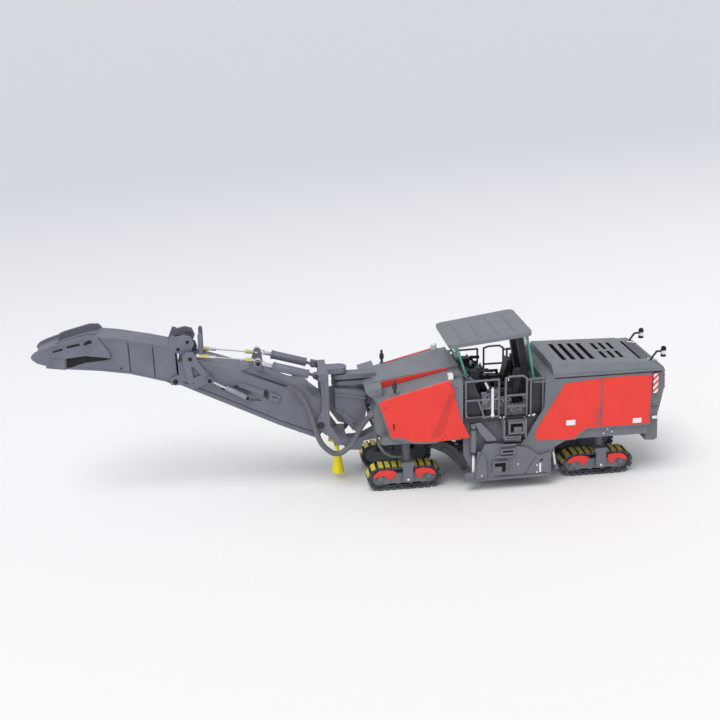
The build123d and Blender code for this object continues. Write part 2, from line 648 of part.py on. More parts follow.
chute_front_x = slew_x + 2.4
chute_half = 5.8
with BuildPart() as transfer_chute:
    chute = [(59.0, 45.6), (62.0, 45.9), (chute_front_x, 48.9), (chute_front_x, 39.4),
             (70.0, 27.5), (66.5, 26.0), (64.0, 31.0), (62.6, 40.0), (59.0, 41.0)]
    slab(chute, -chute_half, chute_half)
    rib = [(chute_front_x, 39.4), (68.0, 32.0), (68.8, 30.9), (chute_front_x, 38.0)]
    slab(rib, -chute_half - 0.6, chute_half + 0.6)
    add(front_hood.part, mode=Mode.SUBTRACT)
transfer_chute.part.label = "transfer_chute"
export_step(transfer_chute.part, "parts/transfer_chute.step")

cone_x = slew_x + 1.8
with BuildPart() as hanging_cone:
    rod(at(cone_x, 0, 14.3), at(cone_x, 0, lower_beam[0]), 0.9)
    with BuildSketch(Plane(at(cone_x, 0, 4.0))) as base:
        Circle(3.0)
    with BuildSketch(Plane(at(cone_x, 0, 14.3))) as top:
        Circle(1.6)
    loft([base.sketch.face(), top.sketch.face()])
hanging_cone.part.label = "hanging_cone"
export_step(hanging_cone.part, "parts/hanging_cone.step")

# ---------------------------------------------------------------- slewing frame
crown = (55.6, 58.2)
post_back = 80.8
post_front = 84.6
eye_x = 86.6
eye_z = 57.2
eye_pin = 0.7
post_line = [(post_back, crown[1]), (post_front, crown[1]), (eye_x + 0.8, eye_z + 1.8),
             (eye_x + 1.4, eye_z - 0.2), (eye_x - 0.2, eye_z - 1.6), (post_front, 54.6),
             (84.4, 40.0), (87.6, 34.6), (87.2, 31.2), (84.4, 30.0),
             (77.8, lower_beam[1] + 0.1), (73.0, lower_beam[1] + 0.1),
             (73.0, lower_beam[1] + 2.3), (76.0, lower_beam[1] + 2.3), (80.9, 32.4)]
with BuildPart() as slewing_frame:
    pair(post_line, frame_inner_y, frame_outer_y)
    block((post_back, post_front), (-frame_inner_y, frame_inner_y), crown)
    block((slew_x, post_front), (-4.0, 4.0), crown)
    rod(at(slew_x, 0, crown[0]), at(slew_x, 0, crown[1]), 4.0)
    rod(at(slew_x, 0, lower_lug[0]), at(slew_x, 0, crown[1]), slew_pin_radius)
    foot = (lower_beam[1] + 0.1, lower_beam[1] + 2.3)
    block((73.0, 77.8), (-frame_inner_y, frame_inner_y), foot)
    rod(at(slew_x, 0, lower_beam[0] + 0.8), at(slew_x, 0, foot[1]), slew_pin_radius)
    cross_rod(luff_x, luff_z, 1.2, -frame_inner_y, frame_inner_y)
    for side in (-1, 1):
        cross_rod(eye_x, eye_z, eye_pin, min(side * frame_inner_y, side * (cylinder_y - 2.6)),
                  max(side * frame_inner_y, side * (cylinder_y - 2.6)))
slewing_frame.part.label = "slewing_frame"
export_step(slewing_frame.part, "parts/slewing_frame.step")

# ---------------------------------------------------------------- conveyor
lower_outline = [(84.0, 29.8), (86.8, 26.0), (104.4, 33.9), (118.0, 41.0), (131.4, 48.0),
                 (149.0, 57.2), (149.2, 67.6), (139.1, 68.0), (121.3, 61.5), (101.4, 52.5),
                 (91.0, 50.6), (88.7, 47.8), (84.2, 44.0)]
ear_x = 112.8
ear_z = 65.3
fold_base = (118.7, 49.4)
fold_pin = 0.6
lever_outer_y = lever_inner_y + lever_thickness
fold_y = lever_outer_y + 0.7
with BuildPart() as lower_boom:
    slab(lower_outline, -lower_half, lower_half)
    flange = [(88.0, 26.4), (87.4, 27.8), (104.0, 35.2), (131.0, 49.3), (147.0, 57.7),
              (147.4, 56.4), (131.4, 48.0), (104.4, 33.9)]
    pair(flange, lower_half - 0.2, lower_half + 0.2)
    cover = [(121.3, 61.4), (117.0, 63.0), (115.6, 62.4), (101.4, 53.9), (97.0, 51.9),
             (97.0, 51.0)]
    slab(cover, -7.0, 7.0)
    recess = [(123.6, 55.0), (117.0, 51.5), (112.0, 46.4), (119.0, 47.4), (131.0, 54.0)]
    pair(recess, lower_half - 1.0, lower_half + 1.0, Mode.SUBTRACT)
    pair([(107.6, 50.7), (103.1, 48.4), (104.2, 45.0), (108.3, 46.8)], lower_half,
         lower_half + 0.2)
    ear = [(109.5, 55.5), (111.0, 65.5), (112.0, 66.8), (113.8, 66.8), (115.0, 65.0),
           (117.0, 59.0)]
    for side in (-1, 1):
        near = (5.6, 6.8)
        span = near if side > 0 else (-near[1], -near[0])
        slab(ear, *span)
        pin_span = (6.0, 10.6) if side > 0 else (-10.6, -6.0)
        cross_rod(ear_x, ear_z, eye_pin, *pin_span)
        lug_span = (5.6, 6.8) if side > 0 else (-6.8, -5.6)
        slab([(136.5, 66.0), (137.5, 70.0), (139.5, 70.0), (140.5, 67.6)], *lug_span)
    cross_rod(luff_x, luff_z, 1.2 + fit, -lower_half, lower_half, Mode.SUBTRACT)
    pair([(148.0, 57.0), (153.2, 57.4), (153.2, 60.4), (150.9, 61.4), (148.0, 62.0)],
         upper_half + 0.15, lower_half)
    cross_rod(fold_x, fold_z, 2.9, -upper_half - 0.15, upper_half + 0.15, Mode.SUBTRACT)
    cross_rod(fold_x, fold_z, 1.0, -lower_half, lower_half)
    for side in (-1, 1):
        near = (lower_half, lower_half + clear + lever_thickness + 0.3)
        span = near if side > 0 else (-near[1], -near[0])
        cross_rod(lever_x, lever_z, 0.9, *span)
        near = (lower_half - 1.5, fold_y + 0.7)
        span = near if side > 0 else (-near[1], -near[0])
        cross_rod(fold_base[0], fold_base[1], fold_pin, *span)
lower_boom.part.label = "lower_boom"
export_step(lower_boom.part, "parts/lower_boom.step")

upper_outline = [(151.0, 56.4), (155.7, 58.9), (171.1, 63.6), (184.4, 66.0), (199.3, 67.8),
                 (203.0, 72.0), (203.0, 77.6), (184.0, 82.1), (176.0, 80.9), (160.9, 77.5),
                 (150.4, 74.6), (150.0, 62.0), (148.6, 60.4), (148.4, 58.0)]
with BuildPart() as upper_boom:
    slab(upper_outline, -upper_half, upper_half)
    cross_rod(fold_x, fold_z, 1.0 + fit, -upper_half, upper_half, Mode.SUBTRACT)
    for seam_x, low_z, high_z in ((159.7, 58.0, 80.0), (170.5, 61.0, 82.0)):
        pair([(seam_x, low_z), (seam_x + 0.5, low_z), (seam_x + 0.5, high_z), (seam_x, high_z)],
             upper_half - 0.3, upper_half + 1.0, Mode.SUBTRACT)
    horn = [(150.4, 70.0), (150.4, 74.6), (149.6, 80.0), (151.4, 80.6), (153.4, 76.0),
            (155.0, 72.0)]
    pair(horn, upper_half - 0.8, upper_half)
upper_boom.part.label = "upper_boom"
export_step(upper_boom.part, "parts/upper_boom.step")

head_outline = [(178.7, 72.0), (179.4, 75.2), (183.2, 81.0), (184.0, 83.0), (187.5, 83.4),
                (195.9, 81.6), (204.9, 79.5), (209.4, 78.1), (212.4, 76.7), (213.7, 75.4),
                (nose_x, 74.4), (213.2, 73.2), (211.1, 71.6), (207.7, 70.4), (207.8, 69.3),
                (199.1, 67.9), (198.6, 73.2), (190.0, 73.9)]
with BuildPart() as conveyor_head:
    pair(head_outline, upper_half, head_half)
    bridge = [(203.0, 72.0), (203.0, 78.6), (212.0, 75.6), (212.9, 74.4), (211.0, 72.8),
              (207.0, 71.6)]
    slab(bridge, -upper_half, upper_half)
    rim = [(184.0, 82.0), (184.6, 84.2), (189.0, 84.4), (200.4, 81.6), (203.0, 80.6),
           (203.0, 77.6)]
    pair(rim, upper_half - 0.8, upper_half)
    for low_x, high_x, low_z, high_z in (
        (191.9, 197.7, 78.2, 79.2), (199.6, 204.1, 76.4, 77.4), (186.4, 190.2, 79.0, 80.0),
    ):
        slot = [(low_x, low_z + 0.9), (high_x, low_z), (high_x, low_z + 0.8), (low_x, low_z + 1.7)]
        pair(slot, head_half - 0.5, head_half + 1.0, Mode.SUBTRACT)
    add(upper_boom.part, mode=Mode.SUBTRACT)
conveyor_head.part.label = "conveyor_head"
export_step(conveyor_head.part, "parts/conveyor_head.step")

lever_outline = [(144.6, 73.1), (147.0, 71.3), (146.6, 66.5), (145.4, 59.6), (144.9, 57.0),
                 (143.6, 55.2), (141.6, 55.4), (137.6, 57.0), (135.0, 57.6), (133.9, 59.4),
                 (135.0, 61.0), (137.9, 64.9), (140.6, 69.4), (141.6, 72.4)]
lever_window = [(143.3, 65.8), (142.6, 60.4), (139.1, 61.6), (142.0, 65.9)]
arm_x = 135.3
arm_z = 59.2
with BuildPart() as fold_lever:
    pair(lever_outline, lever_inner_y, lever_outer_y)
    pair(lever_window, lever_inner_y, lever_outer_y, Mode.SUBTRACT)
    for side in (-1, 1):
        span = (lever_inner_y, lever_outer_y) if side > 0 else (-lever_outer_y, -lever_inner_y)
        cross_rod(lever_x, lever_z, 0.9 + fit, *span, Mode.SUBTRACT)
        outer = (lever_outer_y, lever_outer_y + 1.4)
        pin = outer if side > 0 else (-outer[1], -outer[0])
        cross_rod(arm_x, arm_z, fold_pin, *pin)
    block((142.8, 145.2), (-lever_inner_y, lever_inner_y), (70.6, 72.2))
fold_lever.part.label = "fold_lever"
export_step(fold_lever.part, "parts/fold_lever.step")


luff_base = (eye_x, eye_z)
luff_tip = (ear_x, ear_z)
luff_angle = math.atan2(ear_z - eye_z, ear_x - eye_x)
luff_length = math.dist(luff_base, luff_tip)


def along(base, angle, distance, y):
    """A point at a distance from a pin, in the direction of a cylinder."""
    return at(base[0] + distance * math.cos(angle), y, base[1] + distance * math.sin(angle))


with BuildPart() as luff_barrels:
    for side in (-1, 1):
        y = side * cylinder_y
        eye_span = (y - 1.2, y + 0.25 * 1.0) if side > 0 else (y - 0.25, y + 1.2)
        cross_rod(eye_x, eye_z, 1.6, *eye_span)
        rod(along(luff_base, luff_angle, 1.0, y - side * 0.45),
            along(luff_base, luff_angle, 4.0, y - side * 0.45), 0.75)
        rod(along(luff_base, luff_angle, 3.4, y), along(luff_base, luff_angle, 20.4, y),
            barrel_radius)
        cross_rod(eye_x, eye_z, eye_pin + fit, y - 3.0, y + 3.0, Mode.SUBTRACT)
        rod(along(luff_base, luff_angle, 4.4, y), along(luff_base, luff_angle, 20.4, y),
            rod_radius + fit, Mode.SUBTRACT)
luff_barrels.part.label = "luff_barrels"
export_step(luff_barrels.part, "parts/luff_barrels.step")

with BuildPart() as luff_rods:
    for side in (-1, 1):
        y = side * cylinder_y
        cross_rod(ear_x, ear_z, 1.9, y - 1.0, y + 1.0)
        rod(along(luff_base, luff_angle, 12.0, y), along(luff_base, luff_angle, luff_length, y),
            rod_radius)
        cross_rod(ear_x, ear_z, eye_pin + eye_play, y - 3.0, y + 3.0, Mode.SUBTRACT)
luff_rods.part.label = "luff_rods"
export_step(luff_rods.part, "parts/luff_rods.step")

fold_tip = (arm_x, arm_z)
fold_angle = math.atan2(fold_tip[1] - fold_base[1], fold_tip[0] - fold_base[0])
fold_length = math.dist(fold_base, fold_tip)
with BuildPart() as fold_barrels:
    for side in (-1, 1):
        y = side * fold_y
        cross_rod(fold_base[0], fold_base[1], 1.2, y - 0.6, y + 0.6)
        rod(along(fold_base, fold_angle, 0.6, y), along(fold_base, fold_angle, 11.0, y), 1.15)
        cross_rod(fold_base[0], fold_base[1], 0.6 + fit, y - 2.0, y + 2.0, Mode.SUBTRACT)
        rod(along(fold_base, fold_angle, 2.0, y), along(fold_base, fold_angle, 11.0, y),
            0.6 + fit, Mode.SUBTRACT)
fold_barrels.part.label = "fold_barrels"
export_step(fold_barrels.part, "parts/fold_barrels.step")

with BuildPart() as fold_rods:
    for side in (-1, 1):
        y = side * fold_y
        cross_rod(arm_x, arm_z, 1.7, y - 0.55, y + 0.55)
        rod(along(fold_base, fold_angle, 3.0, y), along(fold_base, fold_angle, fold_length, y),
            0.6)
        cross_rod(arm_x, arm_z, fold_pin + eye_play, y - 2.0, y + 2.0, Mode.SUBTRACT)
fold_rods.part.label = "fold_rods"
export_step(fold_rods.part, "parts/fold_rods.step")

with BuildPart() as stay_rods:
    for side in (-1, 1):
        y = side * 6.2
        front = at(137.4, y, 69.2)
        rear = at(114.2, y, 65.8)
        rod(rear, front, 0.3)
        for start, end in ((0.02, 0.14), (0.76, 0.9)):
            rod(rear + (front - rear) * start, rear + (front - rear) * end, 0.75)
    add(lower_boom.part, mode=Mode.SUBTRACT)
stay_rods.part.label = "stay_rods"
export_step(stay_rods.part, "parts/stay_rods.step")

# ---------------------------------------------------------------- hoses
def corner_radii(points):
    """The largest fair arc for each inner corner of a hose's route."""
    radii = []
    for before, corner, after in zip(points, points[1:], points[2:]):
        run = min((corner - before).length, (after - corner).length)
        turn = (corner - before).get_angle(after - corner)
        radii.append(0.45 * run / math.tan(math.radians(turn / 2)))
    return radii


def hose(points, radius):
    """A round hose along straight runs joined by tangent arcs."""
    radii = corner_radii(points)
    with BuildPart() as tube:
        with BuildLine() as path:
            FilletPolyline(*points, radius=radii)
        with BuildSketch(Plane(points[0], z_dir=points[1] - points[0])):
            Circle(radius)
        sweep(path=path.line)
    length = sum(edge.length for edge in path.line.edges())
    print("hose radii", [round(value, 1) for value in radii],
          "volume ratio", round(tube.part.volume / (math.pi * radius ** 2 * length), 4))
    return tube


for side, name in ((1, "left"), (-1, "right")):
    route = [at(x, side * (hose_y + out), z) for x, z, out in hose_route]
    loop_hose = hose(route, hose_radius)
    loop_hose.part.label = f"loop_hose_{name}"
    export_step(loop_hose.part, f"parts/loop_hose_{name}.step")
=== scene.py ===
"""Dressed 1:50 model of a cold planer milling machine with a folding front conveyor.

The CAD nodes keep their shapes and get their finishes here. What the solids leave out is added
as pieces that ride on the same bodies: yellow track pads, dark slot liners of painted shade,
pipes, turnbuckles, pins, bolts, blank plates, green glass edges and the linkage under the
chassis.
"""

import logging
import math
from dataclasses import dataclass
from enum import Enum, IntEnum

import bmesh
import bpy
from mathutils import Matrix, Vector


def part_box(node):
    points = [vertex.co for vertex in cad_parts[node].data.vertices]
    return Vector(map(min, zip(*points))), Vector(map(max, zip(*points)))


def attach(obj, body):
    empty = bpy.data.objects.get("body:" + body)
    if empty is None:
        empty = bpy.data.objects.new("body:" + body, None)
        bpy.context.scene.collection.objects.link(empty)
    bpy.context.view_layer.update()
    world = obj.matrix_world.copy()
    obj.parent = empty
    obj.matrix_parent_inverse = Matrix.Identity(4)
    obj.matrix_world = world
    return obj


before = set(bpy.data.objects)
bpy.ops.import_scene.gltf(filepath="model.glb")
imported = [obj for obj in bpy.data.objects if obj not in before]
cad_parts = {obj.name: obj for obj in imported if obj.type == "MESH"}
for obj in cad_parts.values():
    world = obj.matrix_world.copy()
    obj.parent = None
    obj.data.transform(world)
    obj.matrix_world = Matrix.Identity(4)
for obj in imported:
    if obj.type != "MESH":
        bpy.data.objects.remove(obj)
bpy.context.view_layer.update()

log = logging.getLogger("planer")

Point = tuple[float, float, float]
Span = tuple[float, float]
Outline = list[tuple[float, float]]
Socket = bpy.types.NodeSocket
Tree = bpy.types.NodeTree

MM = 0.001
NOSE_X = 214.0
TAIL_X = -79.6
ORIGIN_X = (NOSE_X + TAIL_X) / 2   # station of the frame's origin, in millimetres
PANEL_SIDE = 25.0                  # half width over the side panels
LUFF_BASE = (86.6, 57.2)           # eyes of the luffing and folding cylinders, from the side
LUFF_TIP = (112.8, 65.3)
LUFF_SIDE = 9.0
FOLD_BASE = (118.7, 49.4)
FOLD_TIP = (135.3, 59.2)
FOLD_PIN = (150.9, 58.8)           # hinge between the lower and the upper boom
MIX_ONE, MIX_TWO, MIX_RESULT = 6, 7, 2   # colour sockets of a mix node


class Round(IntEnum):
    """Counts of corners round a part, from nuts to large caps."""

    NUT = 6
    WIRE = 8
    HOSE = 10
    PIPE = 12
    PEG = 14
    PIN = 16
    EYE = 18
    BOSS = 20
    CAP = 24


def linear(code: str) -> tuple[float, float, float, float]:
    """Turns an sRGB hex colour into linear values.

    Args:
        code: Colour such as "#75787E".

    Returns:
        Linear red, green and blue with an alpha of 1.
    """
    values = [int(code[start:start + 2], 16) / 255 for start in (1, 3, 5)]
    turned = [v / 12.92 if v <= 0.04045 else ((v + 0.055) / 1.055) ** 2.4 for v in values]
    return (turned[0], turned[1], turned[2], 1.0)


def place(station: float, side: float, height: float) -> Vector:
    """Turns a station, side and height in millimetres into a point of the frame."""
    return Vector(((station - ORIGIN_X) * MM, side * MM, height * MM))


def link_object(name: str, data: bpy.types.ID) -> bpy.types.Object:
    """Adds an object to the scene.

    Args:
        name: Object's name.
        data: Its mesh, light or camera.

    Returns:
        The object.
    """
    made = bpy.data.objects.new(name, data)
    bpy.context.collection.objects.link(made)
    return made


# ---------------------------------------------------------------- nodes
def add_node(tree: Tree, kind: str, feeds: dict | None = None,
             **settings: object) -> bpy.types.Node:
    """Adds a node with its settings, input values and incoming links.

    Args:
        tree: Node tree that gets the node.
        kind: Node type.
        feeds: Input name or index, with a value or the output socket to link from.
        **settings: Properties of the node.

    Returns:
        The new node.
    """
    made = tree.nodes.new(kind)
    for name, value in settings.items():
        setattr(made, name, value)
    for name, value in (feeds or {}).items():
        socket = made.inputs[name]
        if isinstance(value, Socket):
            tree.links.new(value, socket)
        else:
            socket.default_value = value
    return made


def fresh_tree(owner: bpy.types.Material | bpy.types.World) -> Tree:
    """Gives a material or a world an empty node tree.

    Args:
        owner: The material or world.

    Returns:
        Its tree.
    """
    owner.use_nodes = True
    owner.node_tree.nodes.clear()
    return owner.node_tree


# ---------------------------------------------------------------- finishes
class Slot(Enum):
    """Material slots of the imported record."""

    GREY = "body_grey"
    RED = "body_red"
    DARK = "dark_trim"
    TRACK = "track_steel"
    BRIGHT = "bright_rod"
    WHITE = "lamp_white"
    GLASS = "clear_glass"
    YELLOW = "signal_yellow"
    HOSE = "hose_grey"


@dataclass(frozen=True)
class Finish:
    """A moulded, painted or plated surface with soft mottling and a fine grain.

    Attributes:
        name: Material's name.
        slot: Slot of the record that it stands for; not used.
        colour: Main tone, sRGB hex.
        tone: Second tone of the mottling, sRGB hex.
        roughness: Middle roughness.
        metallic: 1 for bare metal.
        mottle: Size of the mottling in millimetres.
        grain: Size of the surface grain in millimetres.
        relief: Height of the grain in millimetres.
        coat: Weight of a clear coat.
        transmission: Share of light let through.
        ior: Index of refraction.
        uneven: Roughness that comes and goes over the surface.
        haze: Size of those patches as a share of the mottling.
    """

    name: str
    slot: Slot
    colour: str
    tone: str
    roughness: float
    metallic: float = 0.0
    mottle: float = 9.0
    grain: float = 0.35
    relief: float = 0.008
    coat: float = 0.0
    transmission: float = 0.0
    ior: float = 1.5
    uneven: float = 0.06
    haze: float = 0.4

    def share(self, tree: Tree, where: Socket) -> Socket:
        """Gives the second tone's share in soft clouds.

        Args:
            tree: Tree of the material.
            where: Object coordinates.

        Returns:
            The share.
        """
        cloud = add_node(tree, "ShaderNodeTexNoise",
                         {"Vector": where, "Scale": 1 / (self.mottle * MM), "Detail": 3.0})
        spread = add_node(tree, "ShaderNodeMapRange",
                          {"Value": cloud.outputs["Fac"], "From Min": 0.35, "From Max": 0.65})
        return spread.outputs["Result"]

    def build(self) -> bpy.types.Material:
        """Makes the material.

        Returns:
            The node material.
        """
        material = bpy.data.materials.new(self.name)
        tree = fresh_tree(material)
        where = add_node(tree, "ShaderNodeTexCoord").outputs["Object"]
        mix = add_node(tree, "ShaderNodeMix",
                       {"Factor": self.share(tree, where), MIX_ONE: linear(self.colour),
                        MIX_TWO: linear(self.tone)}, data_type="RGBA")
        haze = add_node(tree, "ShaderNodeTexNoise",
                        {"Vector": where, "Scale": 1 / (self.haze * self.mottle * MM),
                         "Detail": 2.0})
        gloss = add_node(tree, "ShaderNodeMapRange",
                         {"Value": haze.outputs["Fac"], "From Min": 0.3, "From Max": 0.7,
                          "To Min": max(self.roughness - self.uneven, 0.02),
                          "To Max": min(self.roughness + self.uneven, 1.0)})
        fine = add_node(tree, "ShaderNodeTexNoise",
                        {"Vector": where, "Scale": 1 / (self.grain * MM), "Detail": 2.0})
        bump = add_node(tree, "ShaderNodeBump",
                        {"Height": fine.outputs["Fac"], "Strength": 0.35,
                         "Distance": self.relief * MM})
        feeds = {"Base Color": mix.outputs[MIX_RESULT], "Roughness": gloss.outputs["Result"],
                 "Normal": bump.outputs["Normal"], "Metallic": self.metallic,
                 "Coat Weight": self.coat, "Transmission Weight": self.transmission}
        if not self.metallic:
            feeds["IOR"] = self.ior
        shader = add_node(tree, "ShaderNodeBsdfPrincipled", feeds)
        add_node(tree, "ShaderNodeOutputMaterial", {"Surface": shader.outputs["BSDF"]})
        return material


@dataclass(frozen=True)
class SpeckledFinish(Finish):
    """Cast resin with a coarse light and dark speckle, as on small moulded fittings.

    Attributes:
        speckle: Size of the speckles in millimetres.
    """

    speckle: float = 0.9

    def share(self, tree: Tree, where: Socket) -> Socket:
        """Gives the light speckles' share on the dark tone.

        Args:
            tree: Tree of the material.
            where: Object coordinates.

        Returns:
            The share.
        """
        cells = add_node(tree, "ShaderNodeTexNoise",
                         {"Vector": where, "Scale": 1 / (self.speckle * MM), "Detail": 4.0,
                          "Roughness": 0.7})
        spread = add_node(tree, "ShaderNodeMapRange",
                          {"Value": cells.outputs["Fac"], "From Min": 0.47, "From Max": 0.58})
        return spread.outputs["Result"]


@dataclass(frozen=True)
class ChevronFinish(Finish):
    """Slanted warning bands of two paints.

    Attributes:
        band: Width of one pair of bands along the height, in millimetres.
    """

    band: float = 3.0

    def share(self, tree: Tree, where: Socket) -> Socket:
        """Sets the bands on a slant of height against length and width.

        Args:
            tree: Tree of the material.
            where: Object coordinates.

        Returns:
            1 on every second band.
        """
        parts = add_node(tree, "ShaderNodeSeparateXYZ", {"Vector": where}).outputs
        level = add_node(tree, "ShaderNodeMath", {0: parts["Y"]}, operation="ABSOLUTE")
        slant = add_node(tree, "ShaderNodeMath", {0: parts["Z"], 1: parts["X"]},
                         operation="ADD")
        slant = add_node(tree, "ShaderNodeMath", {0: slant.outputs[0], 1: level.outputs[0]},
                         operation="ADD")
        turns = add_node(tree, "ShaderNodeMath", {0: slant.outputs[0], 1: self.band * MM},
                         operation="FLOORED_MODULO")
        pick = add_node(tree, "ShaderNodeMath", {0: turns.outputs[0], 1: self.band * MM / 2},
                        operation="GREATER_THAN")
        return pick.outputs[0]


class Look(Enum):
    """The finishes of the model, each named for what the real surface is."""

    # Satin enamel sprayed on zinc castings: even, with a slight orange peel.
    GREY_ENAMEL = Finish("grey_enamel", Slot.GREY, "#75787F", "#6E7179", 0.46)
    # A lighter copy of the grey enamel for the hoods, roof and raised trim: painted highlight
    # where their tops and edges catch the light.
    LIT_GREY_ENAMEL = Finish("lit_grey_enamel", Slot.GREY, "#7B7F85", "#74787F", 0.44)
    # The conveyor's castings, a cooler shade.
    BOOM_ENAMEL = Finish("boom_enamel", Slot.GREY, "#757885", "#6D707D", 0.46)
    # Pale satin lacquer of the folding cylinders.
    PALE_LACQUER = Finish("pale_lacquer", Slot.GREY, "#9B9DA6", "#8F919A", 0.34, mottle=3.0)
    # Gloss red enamel of the side panels, under a thin clear coat.
    RED_ENAMEL = Finish("red_enamel", Slot.RED, "#F6382C", "#EF3428", 0.34, coat=0.1)
    # Moulded ABS of posts, seats and floor: near black, dull.
    DARK_ABS = Finish("dark_abs", Slot.DARK, "#2B2D31", "#34363B", 0.55, mottle=5.0)
    # Near black: painted shade in slots, gaps, recesses and under ledges, and the own colour of
    # dark pins, bolts, caps, seams and hoses.
    SHADE_AND_DARK_PARTS = Finish("painted_shade_and_dark_parts", Slot.DARK, "#101114", "#17181B", 0.75, mottle=3.0)
    # Moulded resin of the consoles, which shows a light speckle.
    CONSOLE_RESIN = SpeckledFinish("console_resin", Slot.DARK, "#44474D", "#A9ACB2", 0.6)
    # Dull polymer of the moulded tracks, with a grey bloom.
    TRACK_POLYMER = Finish("track_polymer", Slot.TRACK, "#3C3D42", "#56575D", 0.62, mottle=2.2,
                           relief=0.02)
    # Bare cast drum with its tools.
    DRUM_METAL = Finish("drum_cast_metal", Slot.TRACK, "#55565A", "#6A6B70", 0.5, 0.6,
                        mottle=2.0, relief=0.02)
    # Plated steel wire and rods: bright, slightly brushed.
    PLATED_ROD = Finish("plated_rod", Slot.BRIGHT, "#E6E7EA", "#DADCE0", 0.2, 1.0, mottle=1.5)
    # White gloss plastic of lamps, rods and blank plates.
    WHITE_PLASTIC = Finish("white_plastic", Slot.WHITE, "#F8F9FA", "#EFF0F2", 0.3, mottle=4.0)
    # Clear acrylic sheet of the screens.
    CLEAR_ACRYLIC = Finish("clear_acrylic", Slot.GLASS, "#F2FAF7", "#ECF7F3", 0.05,
                           mottle=12.0, relief=0.001, transmission=1.0, ior=1.49)
    # The acrylic's cut edges gather light and show green.
    GREEN_EDGE = Finish("green_acrylic_edge", Slot.GLASS, "#3E9A7C", "#55AE90", 0.25,
                        mottle=3.0, ior=1.49)
    # Moulded yellow of the track pads, uneven from pad to pad.
    PAD_YELLOW = Finish("pad_yellow", Slot.YELLOW, "#F0CF2A", "#DCDA4C", 0.5, mottle=3.5)
    # Shadowed red of the facet pressed into the front panels.
    RED_FACET = Finish("red_facet", Slot.RED, "#DE342A", "#D63026", 0.36, coat=0.1)
    # Clean yellow of the hanging cone.
    CONE_YELLOW = Finish("cone_yellow", Slot.YELLOW, "#FFEC12", "#F6E010", 0.4)
    # Turned brass of the turnbuckles, lightly tarnished.
    TURNED_BRASS = Finish("turned_brass", Slot.BRIGHT, "#F2E6AE", "#DCCB86", 0.4, 1.0,
                          mottle=1.2)
    # Soft PVC tube of the hoses and pipes.
    HOSE_PVC = Finish("hose_pvc", Slot.HOSE, "#6B6D73", "#62646A", 0.4, mottle=4.0)
    # Red and white warning bands.
    CHEVRON = ChevronFinish("warning_bands", Slot.RED, "#F04036", "#F1F1F2", 0.4)


MATERIALS: dict[Look, bpy.types.Material] = {}
SMOOTH_LIMIT = 35.0   # degrees between faces, past which an edge stays sharp


def material_of(look: Look) -> bpy.types.Material:
    """Gives a finish's material, made once.

    Args:
        look: The finish.

    Returns:
        Its material.
    """
    if look not in MATERIALS:
        MATERIALS[look] = look.value.build()
    return MATERIALS[look]


def round_edges(piece: bpy.types.Object, width: float, segments: int = 2,
                limit: float = 30.0) -> None:
    """Rounds a piece's sharp edges, if it has a width for that.

    Args:
        piece: The piece.
        width: Width in millimetres, or 0.
        segments: Count of facets over an edge.
        limit: Least angle of a sharp edge in degrees.
    """
    if width:
        soft = piece.modifiers.new("edges", "BEVEL")
        soft.width = width * MM
        soft.segments = segments
        soft.limit_method = "ANGLE"
        soft.angle_limit = math.radians(limit)


def dress(piece: bpy.types.Object, look: Look, body: str, bevel: float) -> None:
    """Gives a piece its material, slot and edges, and lets it ride on its body.

    Args:
        piece: The piece.
        look: Its finish.
        body: Name of the body.
        bevel: Width of its rounded edges in millimetres, or 0.
    """
    round_edges(piece, bevel)
    piece.data.materials.clear()
    piece.data.materials.append(material_of(look))
    piece.data.shade_smooth()
    piece.data.set_sharp_from_angle(angle=math.radians(SMOOTH_LIMIT))
    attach(piece, body)
    log.info("piece %s on %s: %d faces", piece.name, body, len(piece.data.polygons))


# ---------------------------------------------------------------- mesh building
def at_side(spots: Outline, side: float) -> list[Point]:
    """Gives side-view points, each a station and a height, their side."""
    return [(x, side, z) for x, z in spots]


